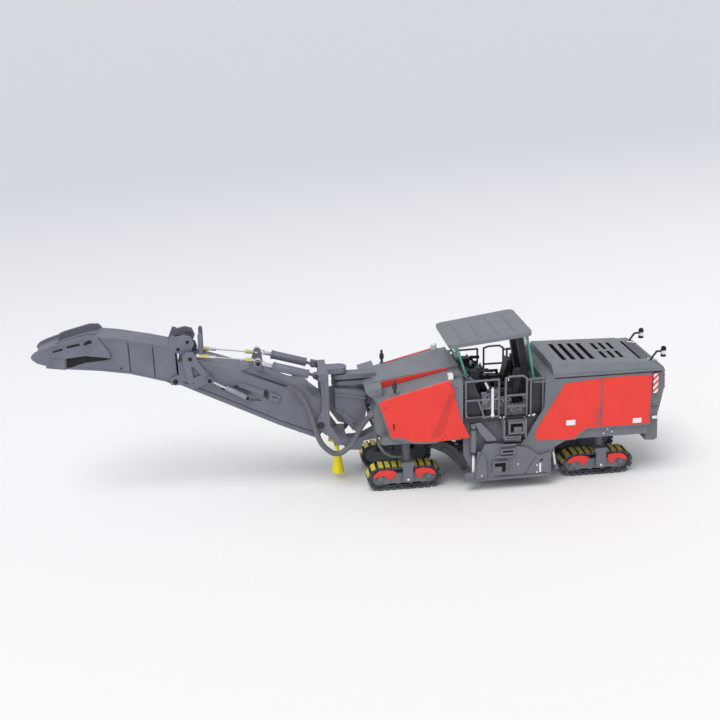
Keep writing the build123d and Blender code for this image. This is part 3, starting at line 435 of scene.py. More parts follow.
class Shape:
    """Closed solids gathered into one mesh, in stations, sides and heights in millimetres.

    Each solid is given as it stands on the left and is added on both sides of the machine,
    until `only` says otherwise.
    """

    def __init__(self) -> None:
        """Starts an empty mesh."""
        self.mesh = bmesh.new()
        self.ways: tuple[int, ...] = (1, -1)

    def only(self, way: int) -> "Shape":
        """Adds the solids that follow once: as given for 1, or on the right for -1."""
        self.ways = (way,)
        return self

    def box(self, stations: Span, sides: Span, heights: Span) -> "Shape":
        """Adds a box from its spans along the machine, across it and in height."""
        (rear, front), (low, high) = stations, heights
        return self.prism([(rear, low), (front, low), (front, high), (rear, high)], *sides)

    def prism(self, outline: Outline, inner: float, outer: float) -> "Shape":
        """Adds a side outline, given between two sides.

        Args:
            outline: Station and height of each corner.
            inner: First side value.
            outer: Second side value, the larger one.

        Returns:
            The shape.
        """
        for way in self.ways:
            near, far = ([self.mesh.verts.new(place(*spot)) for spot in at_side(outline, side)]
                         for side in sorted((way * inner, way * outer)))
            self.mesh.faces.new(near)
            self.mesh.faces.new(list(reversed(far)))
            for index in range(len(outline)):
                last = index - 1
                self.mesh.faces.new((near[index], near[last], far[last], far[index]))
        return self

    def rod(self, start: Point, end: Point, radius: float, end_radius: float | None = None,
            corners: int = Round.PIN) -> "Shape":
        """Adds a round bar, or a cone, between two points."""
        return self.tube([start, end], radius, corners, end_radius)

    def pin(self, spot: Span, inner: float, outer: float, radius: float,
            end_radius: float | None = None, corners: int = Round.PIN) -> "Shape":
        """Adds a round bar, or a cone, across the machine at a side-view point."""
        ends = [(spot[0], side, spot[1]) for side in (inner, outer)]
        return self.tube(ends, radius, corners, end_radius)

    def tube(self, route: list[Point], radius: float, corners: int = Round.PIPE,
             end_radius: float | None = None) -> "Shape":
        """Adds a round tube along a route, with closed ends.

        Args:
            route: Points of its middle line.
            radius: Radius in millimetres.
            corners: Count of corners round it.
            end_radius: Radius at the end, or None for the same.

        Returns:
            The shape.
        """
        last = radius if end_radius is None else end_radius
        sizes = [radius] * (len(route) - 1) + [last]
        angles = [math.tau * corner / corners for corner in range(corners)]
        for way in self.ways:
            points = [place(x, way * side, z) for x, side, z in route]
            across = (points[1] - points[0]).orthogonal().normalized()
            rings = []
            for index, (point, size) in enumerate(zip(points, sizes)):
                before, after = points[max(index - 1, 0)], points[min(index + 1, len(points) - 1)]
                ahead = (after - before).normalized()
                across = (across - ahead * across.dot(ahead)).normalized()
                up = ahead.cross(across)
                rings.append([self.mesh.verts.new(
                    point + (across * math.cos(angle) + up * math.sin(angle)) * size * MM)
                    for angle in angles])
            for one, two in zip(rings, rings[1:]):
                for corner in range(corners):
                    prior = corner - 1
                    self.mesh.faces.new((one[prior], one[corner], two[corner], two[prior]))
            self.mesh.faces.new(list(reversed(rings[0])))
            self.mesh.faces.new(rings[-1])
        return self

    def ball(self, centre: Point, radius: float) -> "Shape":
        """Adds a small ball.

        Args:
            centre: Station, side and height of its middle.
            radius: Radius in millimetres.

        Returns:
            The shape.
        """
        station, side, height = centre
        for way in self.ways:
            spot = Matrix.Translation(place(station, way * side, height))
            bmesh.ops.create_uvsphere(self.mesh, u_segments=Round.PEG, v_segments=Round.WIRE,
                                      radius=radius * MM, matrix=spot)
        return self

    def finish(self, name: str, look: Look, body: str = "machine", bevel: float = 0.0) -> None:
        """Makes the piece, gives it its finish and lets it ride on its body.

        Args:
            name: Piece's name.
            look: Its finish.
            body: Body that it rides on.
            bevel: Width of its rounded edges in millimetres, or 0.
        """
        bmesh.ops.recalc_face_normals(self.mesh, faces=self.mesh.faces)
        data = bpy.data.meshes.new(name)
        self.mesh.to_mesh(data)
        self.mesh.free()
        dress(link_object(name, data), look, body, bevel)


# ---------------------------------------------------------------- repeated details
class Repeat(Enum):
    """Kinds of repeated detail, each made by one node tree, with the tree's inputs."""

    STUDS = (("Radius", "Float"), ("Length", "Float"))
    PADS = (("Size", "Vector"),)
    SLATS = (("Count", "Int"), ("Start", "Vector"), ("Step", "Vector"), ("Size", "Vector"),
             ("Turn", "Vector"))


TREES: dict[Repeat, Tree] = {}


def repeat_tree(kind: Repeat) -> Tree:
    """Gives the node tree of a kind of repeated detail, made once.

    Args:
        kind: Which detail.

    Returns:
        The tree, whose named inputs hold its sizes in metres.
    """
    if kind in TREES:
        return TREES[kind]
    tree = bpy.data.node_groups.new(kind.name.lower(), "GeometryNodeTree")
    for name, socket in (("Geometry", "Geometry"), *kind.value, ("Finish", "Material")):
        tree.interface.new_socket(name, in_out="INPUT", socket_type=f"NodeSocket{socket}")
    tree.interface.new_socket("Geometry", in_out="OUTPUT", socket_type="NodeSocketGeometry")
    given = add_node(tree, "NodeGroupInput").outputs
    if kind is Repeat.STUDS:
        points, turn = given["Geometry"], (math.pi / 2, 0.0, 0.0)
        copied = add_node(tree, "GeometryNodeMeshCylinder",
                          {"Vertices": Round.PIPE, "Radius": given["Radius"],
                           "Depth": given["Length"]})
    else:
        copied = add_node(tree, "GeometryNodeMeshCube", {"Size": given["Size"]})
    if kind is Repeat.PADS:
        held = add_node(tree, "GeometryNodeInputNamedAttribute", {"Name": "turn"},
                        data_type="FLOAT").outputs["Attribute"]
        points = given["Geometry"]
        turn = add_node(tree, "ShaderNodeCombineXYZ", {"Y": held}).outputs["Vector"]
    elif kind is Repeat.SLATS:
        points = add_node(tree, "GeometryNodeMeshLine",
                          {"Count": given["Count"], "Start Location": given["Start"],
                           "Offset": given["Step"]}).outputs["Mesh"]
        turn = given["Turn"]
    spread = add_node(tree, "GeometryNodeInstanceOnPoints",
                      {"Points": points, "Instance": copied.outputs["Mesh"], "Rotation": turn})
    real = add_node(tree, "GeometryNodeRealizeInstances",
                    {"Geometry": spread.outputs["Instances"]})
    done = add_node(tree, "GeometryNodeSetMaterial",
                    {"Geometry": real.outputs["Geometry"], "Material": given["Finish"]})
    add_node(tree, "NodeGroupOutput", {"Geometry": done.outputs["Geometry"]})
    TREES[kind] = tree
    return tree


def grow(name: str, kind: Repeat, look: Look, body: str, sizes: dict[str, object],
         points: list[Vector] | None = None, turns: list[float] | None = None,
         bevel: float = 0.0) -> None:
    """Makes a piece of repeated details and turns it into a plain mesh.

    Args:
        name: Piece's name.
        kind: Which detail.
        look: Its finish.
        body: Body that it rides on.
        sizes: Values of the tree's inputs, in metres.
        points: Places of the copies, where the tree needs them.
        turns: Turn about Y of each copy, where the tree reads it.
        bevel: Width of rounded edges in millimetres, or 0.
    """
    source = bpy.data.meshes.new(f"{name}_source")
    source.from_pydata(points or [Vector()], [], [])
    if turns:
        held = source.attributes.new("turn", "FLOAT", "POINT")
        held.data.foreach_set("value", turns)
    piece = link_object(name, source)
    growth = piece.modifiers.new("growth", "NODES")
    growth.node_group = repeat_tree(kind)
    values = dict(sizes, Finish=material_of(look))
    for item in growth.node_group.interface.items_tree:
        if item.item_type == "SOCKET" and item.in_out == "INPUT" and item.name in values:
            growth[item.identifier] = values[item.name]
    graph = bpy.context.evaluated_depsgraph_get()
    data = bpy.data.meshes.new_from_object(piece.evaluated_get(graph), depsgraph=graph)
    data.name = name
    piece.modifiers.remove(growth)
    piece.data = data
    bpy.data.meshes.remove(source)
    dress(piece, look, body, bevel)


def studs(name: str, look: Look, spots: list[Point], radius: float, length: float,
          body: str = "machine") -> None:
    """Adds round studs, pins or bolt heads across the machine, at station, side and height."""
    grow(name, Repeat.STUDS, look, body, {"Radius": radius * MM, "Length": length * MM},
         [place(*spot) for spot in spots])


def stud_pairs(name: str, look: Look, spots: Outline, side: float, radius: float,
               length: float, body: str = "machine") -> None:
    """Adds studs at side-view points on the left and on the right."""
    studs(name, look, at_side(spots, side) + at_side(spots, -side), radius, length, body)


def slats(name: str, look: Look, count: int, start: Point, step: Point, size: Point,
          tilt: float = 0.0, body: str = "machine", bevel: float = 0.0) -> None:
    """Adds a row of equal slats.

    Args:
        name: Piece's name.
        look: Its finish.
        count: Count of slats.
        start: Station, side and height of the first one's middle.
        step: Way from one to the next in millimetres.
        size: Their size in millimetres.
        tilt: Turn about Y in radians.
        body: Body that it rides on.
        bevel: Width of rounded edges in millimetres, or 0.
    """
    grow(name, Repeat.SLATS, look, body,
         {"Count": count, "Start": place(*start), "Step": Vector(step) * MM,
          "Size": Vector(size) * MM, "Turn": (0.0, tilt, 0.0)}, bevel=bevel)


# ---------------------------------------------------------------- finishes of the solids
# A solid takes the first look that lists its name or the start of it.
CAD_LOOKS: dict[Look, tuple[str, ...]] = {
    Look.GREY_ENAMEL: ("chassis_frame", "engine_body", "flank_plates", "tail_bumper",
                       "handrails", "drum_housing", "boarding_steps", "side_cylinders",
                       "side_plate_", "track_leg_", "track_frame_"),
    Look.DARK_ABS: ("front_posts", "beacon_and_mirrors", "platform_deck", "seats", "roof_posts"),
    # The hoods and roof take the lighter grey copy, a painted highlight on their tops.
    Look.LIT_GREY_ENAMEL: ("front_hood", "rear_hood", "roof"),
    Look.RED_ENAMEL: ("front_panels", "rear_panels", "track_cover_"),
    Look.BOOM_ENAMEL: ("slew_support", "transfer_chute", "slewing_frame", "lower_boom",
                       "upper_boom", "conveyor_head", "fold_lever", "luff_barrels"),
    Look.WHITE_PLASTIC: ("work_lamps", "plate_rod_"),
    Look.CHEVRON: ("warning_stripes",),
    Look.CONSOLE_RESIN: ("consoles",),
    Look.CLEAR_ACRYLIC: ("glass_screens",),
    Look.CONE_YELLOW: ("hanging_cone",),
    Look.DRUM_METAL: ("milling_drum",),
    Look.PLATED_ROD: ("stay_rods", "luff_rods", "fold_rods"),
    Look.PALE_LACQUER: ("fold_barrels",),
    Look.TRACK_POLYMER: ("track_",),
    Look.HOSE_PVC: ("loop_hose_",),
}
PLAIN_EDGES = ("stay_rods", "track_front", "track_rear", "milling_drum", "loop_hose",
               "glass_screens")
CAD_BEVEL = 0.11    # millimetres
CAD_WELD = 0.002    # millimetres
CAD_CREASE = 40.0   # degrees


def dress_solids() -> None:
    """Gives every solid its material and soft edges."""
    for name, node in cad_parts.items():
        look = next(look for look, starts in CAD_LOOKS.items() if name.startswith(starts))
        material = material_of(look)
        if not node.material_slots:
            node.data.materials.append(material)
        for held in node.material_slots:
            held.material = material
        if not name.startswith(PLAIN_EDGES):
            weld = node.modifiers.new("weld", "WELD")
            weld.merge_threshold = CAD_WELD * MM
            round_edges(node, CAD_BEVEL, 1, CAD_CREASE)
        log.info("solid %s: %s", name, look.value.name)


# ---------------------------------------------------------------- sub-assemblies
@dataclass
class CrawlerDress:
    """Yellow pads, wheel bolts, wheel caps, wings and leg bolt of one crawler track.

    Attributes:
        name: Place of the crawler, such as "front_left".
        length: Track's length in millimetres.
        height: Track's height.
        shoe: Depth of the shoes.
        count: Count of the shoes.
        pad: Length, width and thickness of a pad.
        painted: Shoes from the top rear onwards that carry a pad.
        bolts: Count of bolts round a wheel.
        ring: Radius of the bolts' ring.
    """

    name: str
    length: float = 35.2
    height: float = 12.0
    shoe: float = 1.0
    count: int = 24
    pad: Point = (2.25, 7.3, 1.0)
    painted: int = 10
    bolts: int = 6
    ring: float = 1.5

    def pads(self, middle: Vector, half: float) -> None:
        """Sets pads on the upper shoes and round the loop's ends.

        Args:
            middle: Middle of the track in metres.
            half: Distance from it to a wheel's middle in millimetres.
        """
        radius = self.height / 2 - self.shoe
        pitch = (4 * half + math.tau * radius) / self.count
        out = radius + self.shoe - self.pad[2] / 2 + 0.05
        spots, turns = [], []
        for index in range(-1, self.painted):
            run = pitch * index
            angle = (min(run, 0.0) + max(run - 2 * half, 0.0)) / radius
            base = min(max(run - half, -half), half)
            spots.append(middle + Vector((base + out * math.sin(angle), 0,
                                          out * math.cos(angle))) * MM)
            turns.append(angle)
        grow(f"track_pads_{self.name}", Repeat.PADS, Look.PAD_YELLOW, f"crawler_{self.name}",
             {"Size": Vector(self.pad) * MM}, spots, turns, bevel=0.12)

    def build(self) -> None:
        """Builds the crawler's pieces."""
        body = f"crawler_{self.name}"
        half = (self.length - self.height) / 2
        low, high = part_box(f"track_{self.name}")
        middle = (low + high) / 2
        self.pads(middle, half)
        way = 1 if middle.y > 0 else -1
        centre, side, level = middle.x / MM + ORIGIN_X, abs(middle.y) / MM, middle.z / MM
        face = max(abs(end.y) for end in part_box(f"track_cover_{self.name}")) / MM
        angles = [math.tau * copy / self.bolts for copy in range(self.bolts)]
        studs(f"wheel_bolts_{self.name}", Look.GREY_ENAMEL,
              [(centre + end * half + self.ring * math.cos(angle), way * face,
                level + self.ring * math.sin(angle)) for end in (-1, 1) for angle in angles],
              0.32, 0.5, body)
        leg_low, leg_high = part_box(f"track_leg_{self.name}")
        outer = max(abs(leg_low.y), abs(leg_high.y)) / MM
        studs(f"leg_bolt_{self.name}", Look.WHITE_PLASTIC,
              [((leg_low.x + leg_high.x) / 2 / MM + ORIGIN_X, way * outer, 5.6)], 0.55, 0.5,
              body)
        caps = Shape().only(way)
        for station, radius in ((centre - half, 2.0), (centre + half, 1.7)):
            caps.pin((station, level), side, face + 0.25, radius, radius - 0.2, Round.CAP)
        caps.finish(f"wheel_caps_{self.name}", Look.GREY_ENAMEL, body, 0.12)
        wings = Shape().only(way)
        for end in (1, -1):
            wings.prism([(centre + end * x, z) for x, z in (
                (5.0, 10.1), (8.6, 10.7), (12.2, 10.3), (14.2, 8.9), (15.0, 6.8), (12.8, 7.2),
                (10.8, 7.9), (8.8, 7.6), (7.8, 5.6), (6.8, 5.4), (5.0, 8.2))],
                face - 0.1, face + 0.4)
        wings.finish(f"red_wings_{self.name}", Look.RED_ENAMEL, body, 0.12)


@dataclass
class RearBodyDress:
    """Slot liners of painted shade, beads, blank plates, handles and grille of the rear body.

    Attributes:
        edge: Height of the hood's lower edge in millimetres.
        ridge: Station and height of the hood's front end.
        knee: Station and height from which the hood falls faster.
        wall: Thickness of a slot liner's walls.
        beacon: Side of the beacons.
    """

    edge: float = 54.6
    ridge: Span = (-23.0, 58.3)
    knee: Span = (-65.5, 57.0)
    wall: float = 0.08
    beacon: float = 15.0

    def crown(self, station: float) -> float:
        """Gives the hood's height.

        Args:
            station: Station in millimetres.

        Returns:
            The height in millimetres.
        """
        if station < self.knee[0]:
            return self.knee[1] + (station - self.knee[0]) * 0.175
        fall = (self.ridge[1] - self.knee[1]) / (self.ridge[0] - self.knee[0])
        return self.ridge[1] + (station - self.ridge[0]) * fall

    def beacons(self) -> None:
        """Adds the beacons' white bands, dark caps and bent arms."""
        side = self.beacon
        caps = Shape().ball((-78.3, side, 61.3), 1.25)
        caps.rod((-78.3, side, 60.5), (-78.3, side, 61.3), 1.3, 1.25, Round.BOSS)
        caps.rod((-78.3, side, 57.4), (-78.3, side, 58.6), 1.25, corners=Round.BOSS)
        caps.finish("beacon_caps", Look.SHADE_AND_DARK_PARTS)
        bands = Shape().rod((-78.4, side, 58.6), (-78.4, side, 60.5), 1.18, corners=Round.BOSS)
        bands.tube(at_side([(-71.0, 56.2), (-75.6, 55.4), (-76.2, 53.9)], side - 1.2), 0.4,
                   Round.HOSE)
        bands.finish("beacon_bands", Look.WHITE_PLASTIC)

    def slots(self) -> None:
        """Lines the hood's slots with black plates, open to the top, as painted shade inside
        them.
        """
        liners = Shape().only(1)
        floor = self.edge + 0.95
        for station, wide, across, length in (
            (-31.0, 12.6, 1, 2.2), (-35.6, 12.6, 1, 2.2), (-40.2, 12.6, 1, 2.2),
            (-44.8, 12.6, 1, 2.2), (-51.5, 5.2, 2, 1.8), (-55.5, 5.2, 2, 1.8),
            (-59.5, 5.2, 2, 1.8), (-67.5, 14.0, 1, 1.6),
        ):
            heights = (floor, self.crown(station) - 0.12)
            low, high = station - length / 2, station + length / 2
            for copy in range(across):
                middle = (copy - (across - 1) / 2) * 2 * (wide + 1.4)
                right, left = middle - wide, middle + wide
                liners.box((low, high), (right, left), (floor, floor + 0.1))
                for stations in ((low, low + self.wall), (high - self.wall, high)):
                    liners.box(stations, (right, left), heights)
                for sides in ((right, right + self.wall), (left - self.wall, left)):
                    liners.box((low, high), sides, heights)
        for station in (-69.5, -71.1, -72.7):
            top = self.crown(station)
            liners.prism([(station - 0.3, top - 0.5), (station + 0.3, top - 0.5),
                          (station + 0.3, top + 0.1), (station - 0.3, top - 0.02)], -13.4, 13.4)
        liners.finish("hood_slot_shade_liners", Look.SHADE_AND_DARK_PARTS)

    def beads(self) -> None:
        """Adds the bead along the hood's edge in the lighter grey, a painted highlight, and a
        dark strip under it as painted shade.
        """
        Shape().tube(at_side([(-13.0, 52.5), (-19.4, 52.4), (-20.8, 52.9), (-22.2, 54.0),
                              (-24.0, 54.3), (-74.4, 54.3)], PANEL_SIDE + 0.05), 0.32,
                     Round.HOSE).finish("hood_edge_bead", Look.LIT_GREY_ENAMEL)
        Shape().box((-74.0, -23.0), (PANEL_SIDE, PANEL_SIDE + 0.06), (53.25, 53.7)).finish(
            "hood_edge_shade_strip", Look.SHADE_AND_DARK_PARTS)

    def panels(self) -> None:
        """Adds blank plates, door handles, seams and small bolts."""
        plates = Shape()
        for stations, heights in (((-33.3, -28.9), (29.7, 32.3)), ((-65.4, -61.2), (28.5, 30.9)),
                                  ((-73.0, -70.6), (30.0, 31.4))):
            plates.box(stations, (PANEL_SIDE - 0.1, PANEL_SIDE + 0.14), heights)
        plates.finish("blank_plates", Look.WHITE_PLASTIC, bevel=0.06)
        Shape().tube(at_side([(-44.0, 29.0), (-44.2, 37.0)], PANEL_SIDE + 0.2), 0.3,
                     Round.HOSE).finish("door_handles", Look.LIT_GREY_ENAMEL)
        seams = Shape().box((-45.86, -45.24), (PANEL_SIDE - 0.95, PANEL_SIDE - 0.02),
                            (27.8, 52.0))
        seams.box((-73.4, -69.9), (PANEL_SIDE - 0.1, PANEL_SIDE + 0.03), (36.0, 36.25))
        seams.finish("door_seams", Look.SHADE_AND_DARK_PARTS)
        stud_pairs("chassis_bolts", Look.WHITE_PLASTIC,
                   [(-47.5, 24.0), (-49.4, 26.0), (-51.6, 24.6)], 24.05, 0.35, 0.4)
        stud_pairs("flank_bolts", Look.LIT_GREY_ENAMEL,
                   [(-23.5, 51.0), (-23.5, 47.5), (-72.4, 40.0), (-72.4, 34.0)], PANEL_SIDE,
                   0.3, 0.35)

    def tail(self) -> None:
        """Adds the cooling grille, lamps and towing eyes at the tail."""
        Shape().only(1).box((-77.1, -75.9), (-10.5, 10.5), (45.0, 52.4)).finish(
            "tail_grille_frame", Look.SHADE_AND_DARK_PARTS, bevel=0.1)
        slats("tail_grille_slats", Look.DARK_ABS, 8, (-77.1, 0, 45.6), (0, 0, 0.88),
              (0.5, 20.4, 0.34), tilt=0.5)
        Shape().box((-75.5, -74.9), (15.2, 18.8), (30.5, 32.3)).finish(
            "tail_lamps", Look.RED_ENAMEL, bevel=0.1)
        Shape().rod((-75.0, 8.0, 21.5), (-75.6, 8.0, 21.5), 1.2, 1.0, Round.EYE).finish(
            "tail_eyes", Look.DARK_ABS)

    def build(self) -> None:
        """Builds the rear body's pieces."""
        self.beacons()
        self.slots()
        self.beads()
        self.panels()
        self.tail()


@dataclass
class FrontBodyDress:
    """Trim, lamps, pipes and cylinders of the front body and below it.

    Attributes:
        link: Inner and outer side of the scraper's inner arms in millimetres.
        rod: Side of the rear scraper rods.
    """

    link: Span = (17.4, 19.0)
    rod: float = 22.7

    def steps(self) -> None:
        """Adds treads to the boarding steps, and dark plates in their openings and under the
        treads as painted shade.
        """
        near, far = PANEL_SIDE + 0.3, PANEL_SIDE + 2.3
        dark = Shape().box((-7.6, -1.5), (near, near + 0.3), (29.0, 33.8))
        grey = Shape().box((-7.2, -3.4), (near + 0.3, far), (29.0, 31.6))
        for low in (23.6, 21.6):
            grey.box((-7.4, 0.6), (near - 1.2, near - 0.1), (low, low + 0.7))
            dark.box((-7.4, 0.6), (near - 1.2, near - 0.25), (low - 0.8, low))
        dark.box((-10.4, -8.9), (near - 0.5, near + 0.1), (25.6, 35.2))
        dark.finish("step_opening_shade", Look.SHADE_AND_DARK_PARTS)
        grey.finish("step_treads", Look.GREY_ENAMEL, bevel=0.1)

    def hood(self) -> None:
        """Adds hood seams, lamp backs, lenses and panel bolts."""
        seams = Shape().only(1)
        for station, heights in ((44.0, (53.9, 54.9)), (29.5, (56.4, 57.2))):
            seams.box((station, station + 0.35), (-11.4, 11.4), heights)
        seams.finish("hood_seams", Look.SHADE_AND_DARK_PARTS)
        Shape().box((24.2, 24.5), (21.0, 24.0), (55.9, 58.7)).finish(
            "lamp_backs", Look.DARK_ABS, bevel=0.05)
        Shape().rod((26.7, 22.5, 57.3), (27.0, 22.5, 57.3), 1.0, 0.8, Round.EYE).finish(
            "lamp_lenses", Look.CLEAR_ACRYLIC)
        stud_pairs("panel_bolts", Look.DARK_ABS, [(56.5, 44.8), (30.0, 27.6), (23.4, 52.0)],
                   PANEL_SIDE, 0.3, 0.3)

    def sill(self) -> None:
        """Adds the grey sill under the front panels, their pressed facet and a slot."""
        Shape().prism([(54.4, 29.2), (44.0, 26.2), (40.0, 25.6), (33.0, 25.6), (31.0, 26.3),
                       (44.0, 27.0), (50.0, 30.0)], PANEL_SIDE - 0.9, PANEL_SIDE + 0.02).finish(
            "front_sills", Look.GREY_ENAMEL, bevel=0.08)
        Shape().prism([(24.9, 53.4), (23.9, 50.0), (30.8, 28.8), (35.6, 28.6), (34.0, 31.6)],
                      PANEL_SIDE - 0.1, PANEL_SIDE + 0.04).finish(
            "panel_facets", Look.RED_FACET)
        Shape().prism([(53.0, 36.6), (52.5, 36.8), (52.1, 33.9), (52.6, 33.7)],
                      PANEL_SIDE - 0.1, PANEL_SIDE + 0.05).finish(
            "panel_slots", Look.SHADE_AND_DARK_PARTS)

    def pipes(self) -> None:
        """Adds the hydraulic pipes in front of and under the hood."""
        Shape().tube(at_side([(58.6, 39.3), (59.8, 36.2), (60.2, 32.9), (60.0, 29.0),
                              (59.4, 25.2), (57.9, 21.4), (55.8, 18.3), (52.6, 16.4),
                              (49.4, 16.0), (46.6, 16.2)], 15.0), 0.8).finish(
            "leg_pipes", Look.HOSE_PVC)
        thin = Shape()
        for side, drop in ((16.8, 0.0), (18.6, 0.8)):
            thin.tube([(x, side, z - drop) for x, z in (
                (58.0, 35.4), (58.2, 31.6), (57.3, 28.2), (55.6, 25.6))], 0.35, Round.WIRE)
        thin.finish("bright_pipes", Look.WHITE_PLASTIC)
        black = Shape()
        for side in (5.5, 9.0):
            inner = side * 0.9
            black.tube([(60.6, side, 46.4), (62.6, side, 45.0), (63.6, side, 42.0),
                        (62.4, inner, 38.0), (60.6, inner, 35.0)], 0.55, Round.HOSE)
        black.finish("nose_hoses", Look.DARK_ABS)

    def linkage(self) -> None:
        """Adds the dark scraper linkage under the front body, its case and its hoses."""
        link = Shape()
        for outline, sides in (
            ([(33.0, 26.2), (30.0, 26.2), (21.0, 20.6), (18.0, 12.2), (19.6, 9.2), (23.0, 13.6),
              (27.6, 19.4), (33.6, 23.4)], self.link),
            ([(34.6, 26.2), (31.0, 26.2), (24.0, 22.0), (19.4, 16.6), (17.6, 10.0), (19.6, 9.2),
              (22.8, 13.6), (28.4, 19.0), (34.8, 22.4)], (20.6, 22.2)),
            ([(29.4, 22.6), (25.4, 19.8), (22.6, 16.2), (23.4, 15.4), (26.4, 18.4),
              (29.9, 21.4)], (22.2, 22.7)),
            ([(36.4, 26.1), (33.0, 26.1), (32.6, 23.2), (34.2, 21.2), (36.0, 22.4)], self.link),
        ):
            link.prism(outline, *sides)
        link.pin((34.4, 22.6), 16.6, 21.0, 1.3, corners=Round.EYE)
        link.only(1).pin((30.6, 22.8), -18.0, 18.0, 0.9).pin((24.6, 18.6), -18.0, 18.0, 0.8)
        link.finish("scraper_linkage", Look.DARK_ABS, bevel=0.1)
        Shape().only(1).prism([(28.4, 21.8), (22.0, 17.8), (20.4, 14.8), (22.4, 13.8),
                               (26.4, 16.6), (30.8, 20.4)], -17.2, 17.2).finish(
            "scraper_case", Look.DARK_ABS, bevel=0.15)
        slats("scraper_ribs", Look.DARK_ABS, 7, (25.8, -15.0, 20.25), (0, 5.0, 0),
              (8.0, 0.6, 0.5), tilt=-0.56)
        stud_pairs("linkage_pins", Look.WHITE_PLASTIC, [(30.6, 22.9), (34.4, 22.6)],
                   self.link[1] + 0.1, 0.4, 0.5)
        hoses = Shape()
        for drop in (0.0, 1.3):
            hoses.tube([(x, side, z - drop) for x, side, z in (
                (40.0, 20.4, 25.9), (35.0, 20.6, 24.6), (29.0, 20.6, 24.0), (23.0, 20.4, 23.4),
                (19.6, 20.2, 21.4))], 0.45, Round.HOSE)
        hoses.finish("underbody_hoses", Look.SHADE_AND_DARK_PARTS)

    def side_gear(self) -> None:
        """Adds brackets, cylinder collars and rear scraper rods at the drum's housing."""
        Shape().prism([(14.6, 34.0), (11.6, 34.0), (4.6, 26.0), (4.2, 24.6), (9.0, 24.6),
                       (12.4, 29.0)], PANEL_SIDE - 0.9, PANEL_SIDE + 0.2).finish(
            "flank_brackets", Look.LIT_GREY_ENAMEL, bevel=0.15)
        collars = Shape()
        for low, high, radius in ((18.0, 19.2, 1.75), (30.6, 31.4, 1.7)):
            collars.rod((14.9, 23.5, low), (14.9, 23.5, high), radius, corners=Round.BOSS)
        collars.finish("cylinder_collars", Look.DARK_ABS, bevel=0.1)
        rods = Shape().rod((-23.3, self.rod, 17.4), (-25.0, self.rod, 8.0), 0.55)
        rods.ball((-25.1, self.rod, 7.6), 0.9).finish("scraper_rods", Look.WHITE_PLASTIC)
        lugs = Shape().rod((-23.0, self.rod, 19.0), (-23.5, self.rod, 16.2), 1.0)
        lugs.box((-26.0, -24.3), (21.4, 23.6), (7.0, 9.4)).finish(
            "scraper_lugs", Look.GREY_ENAMEL, bevel=0.1)

    def build(self) -> None:
        """Builds the front body's pieces."""
        self.steps()
        self.hood()
        self.sill()
        self.pipes()
        self.linkage()
        self.side_gear()


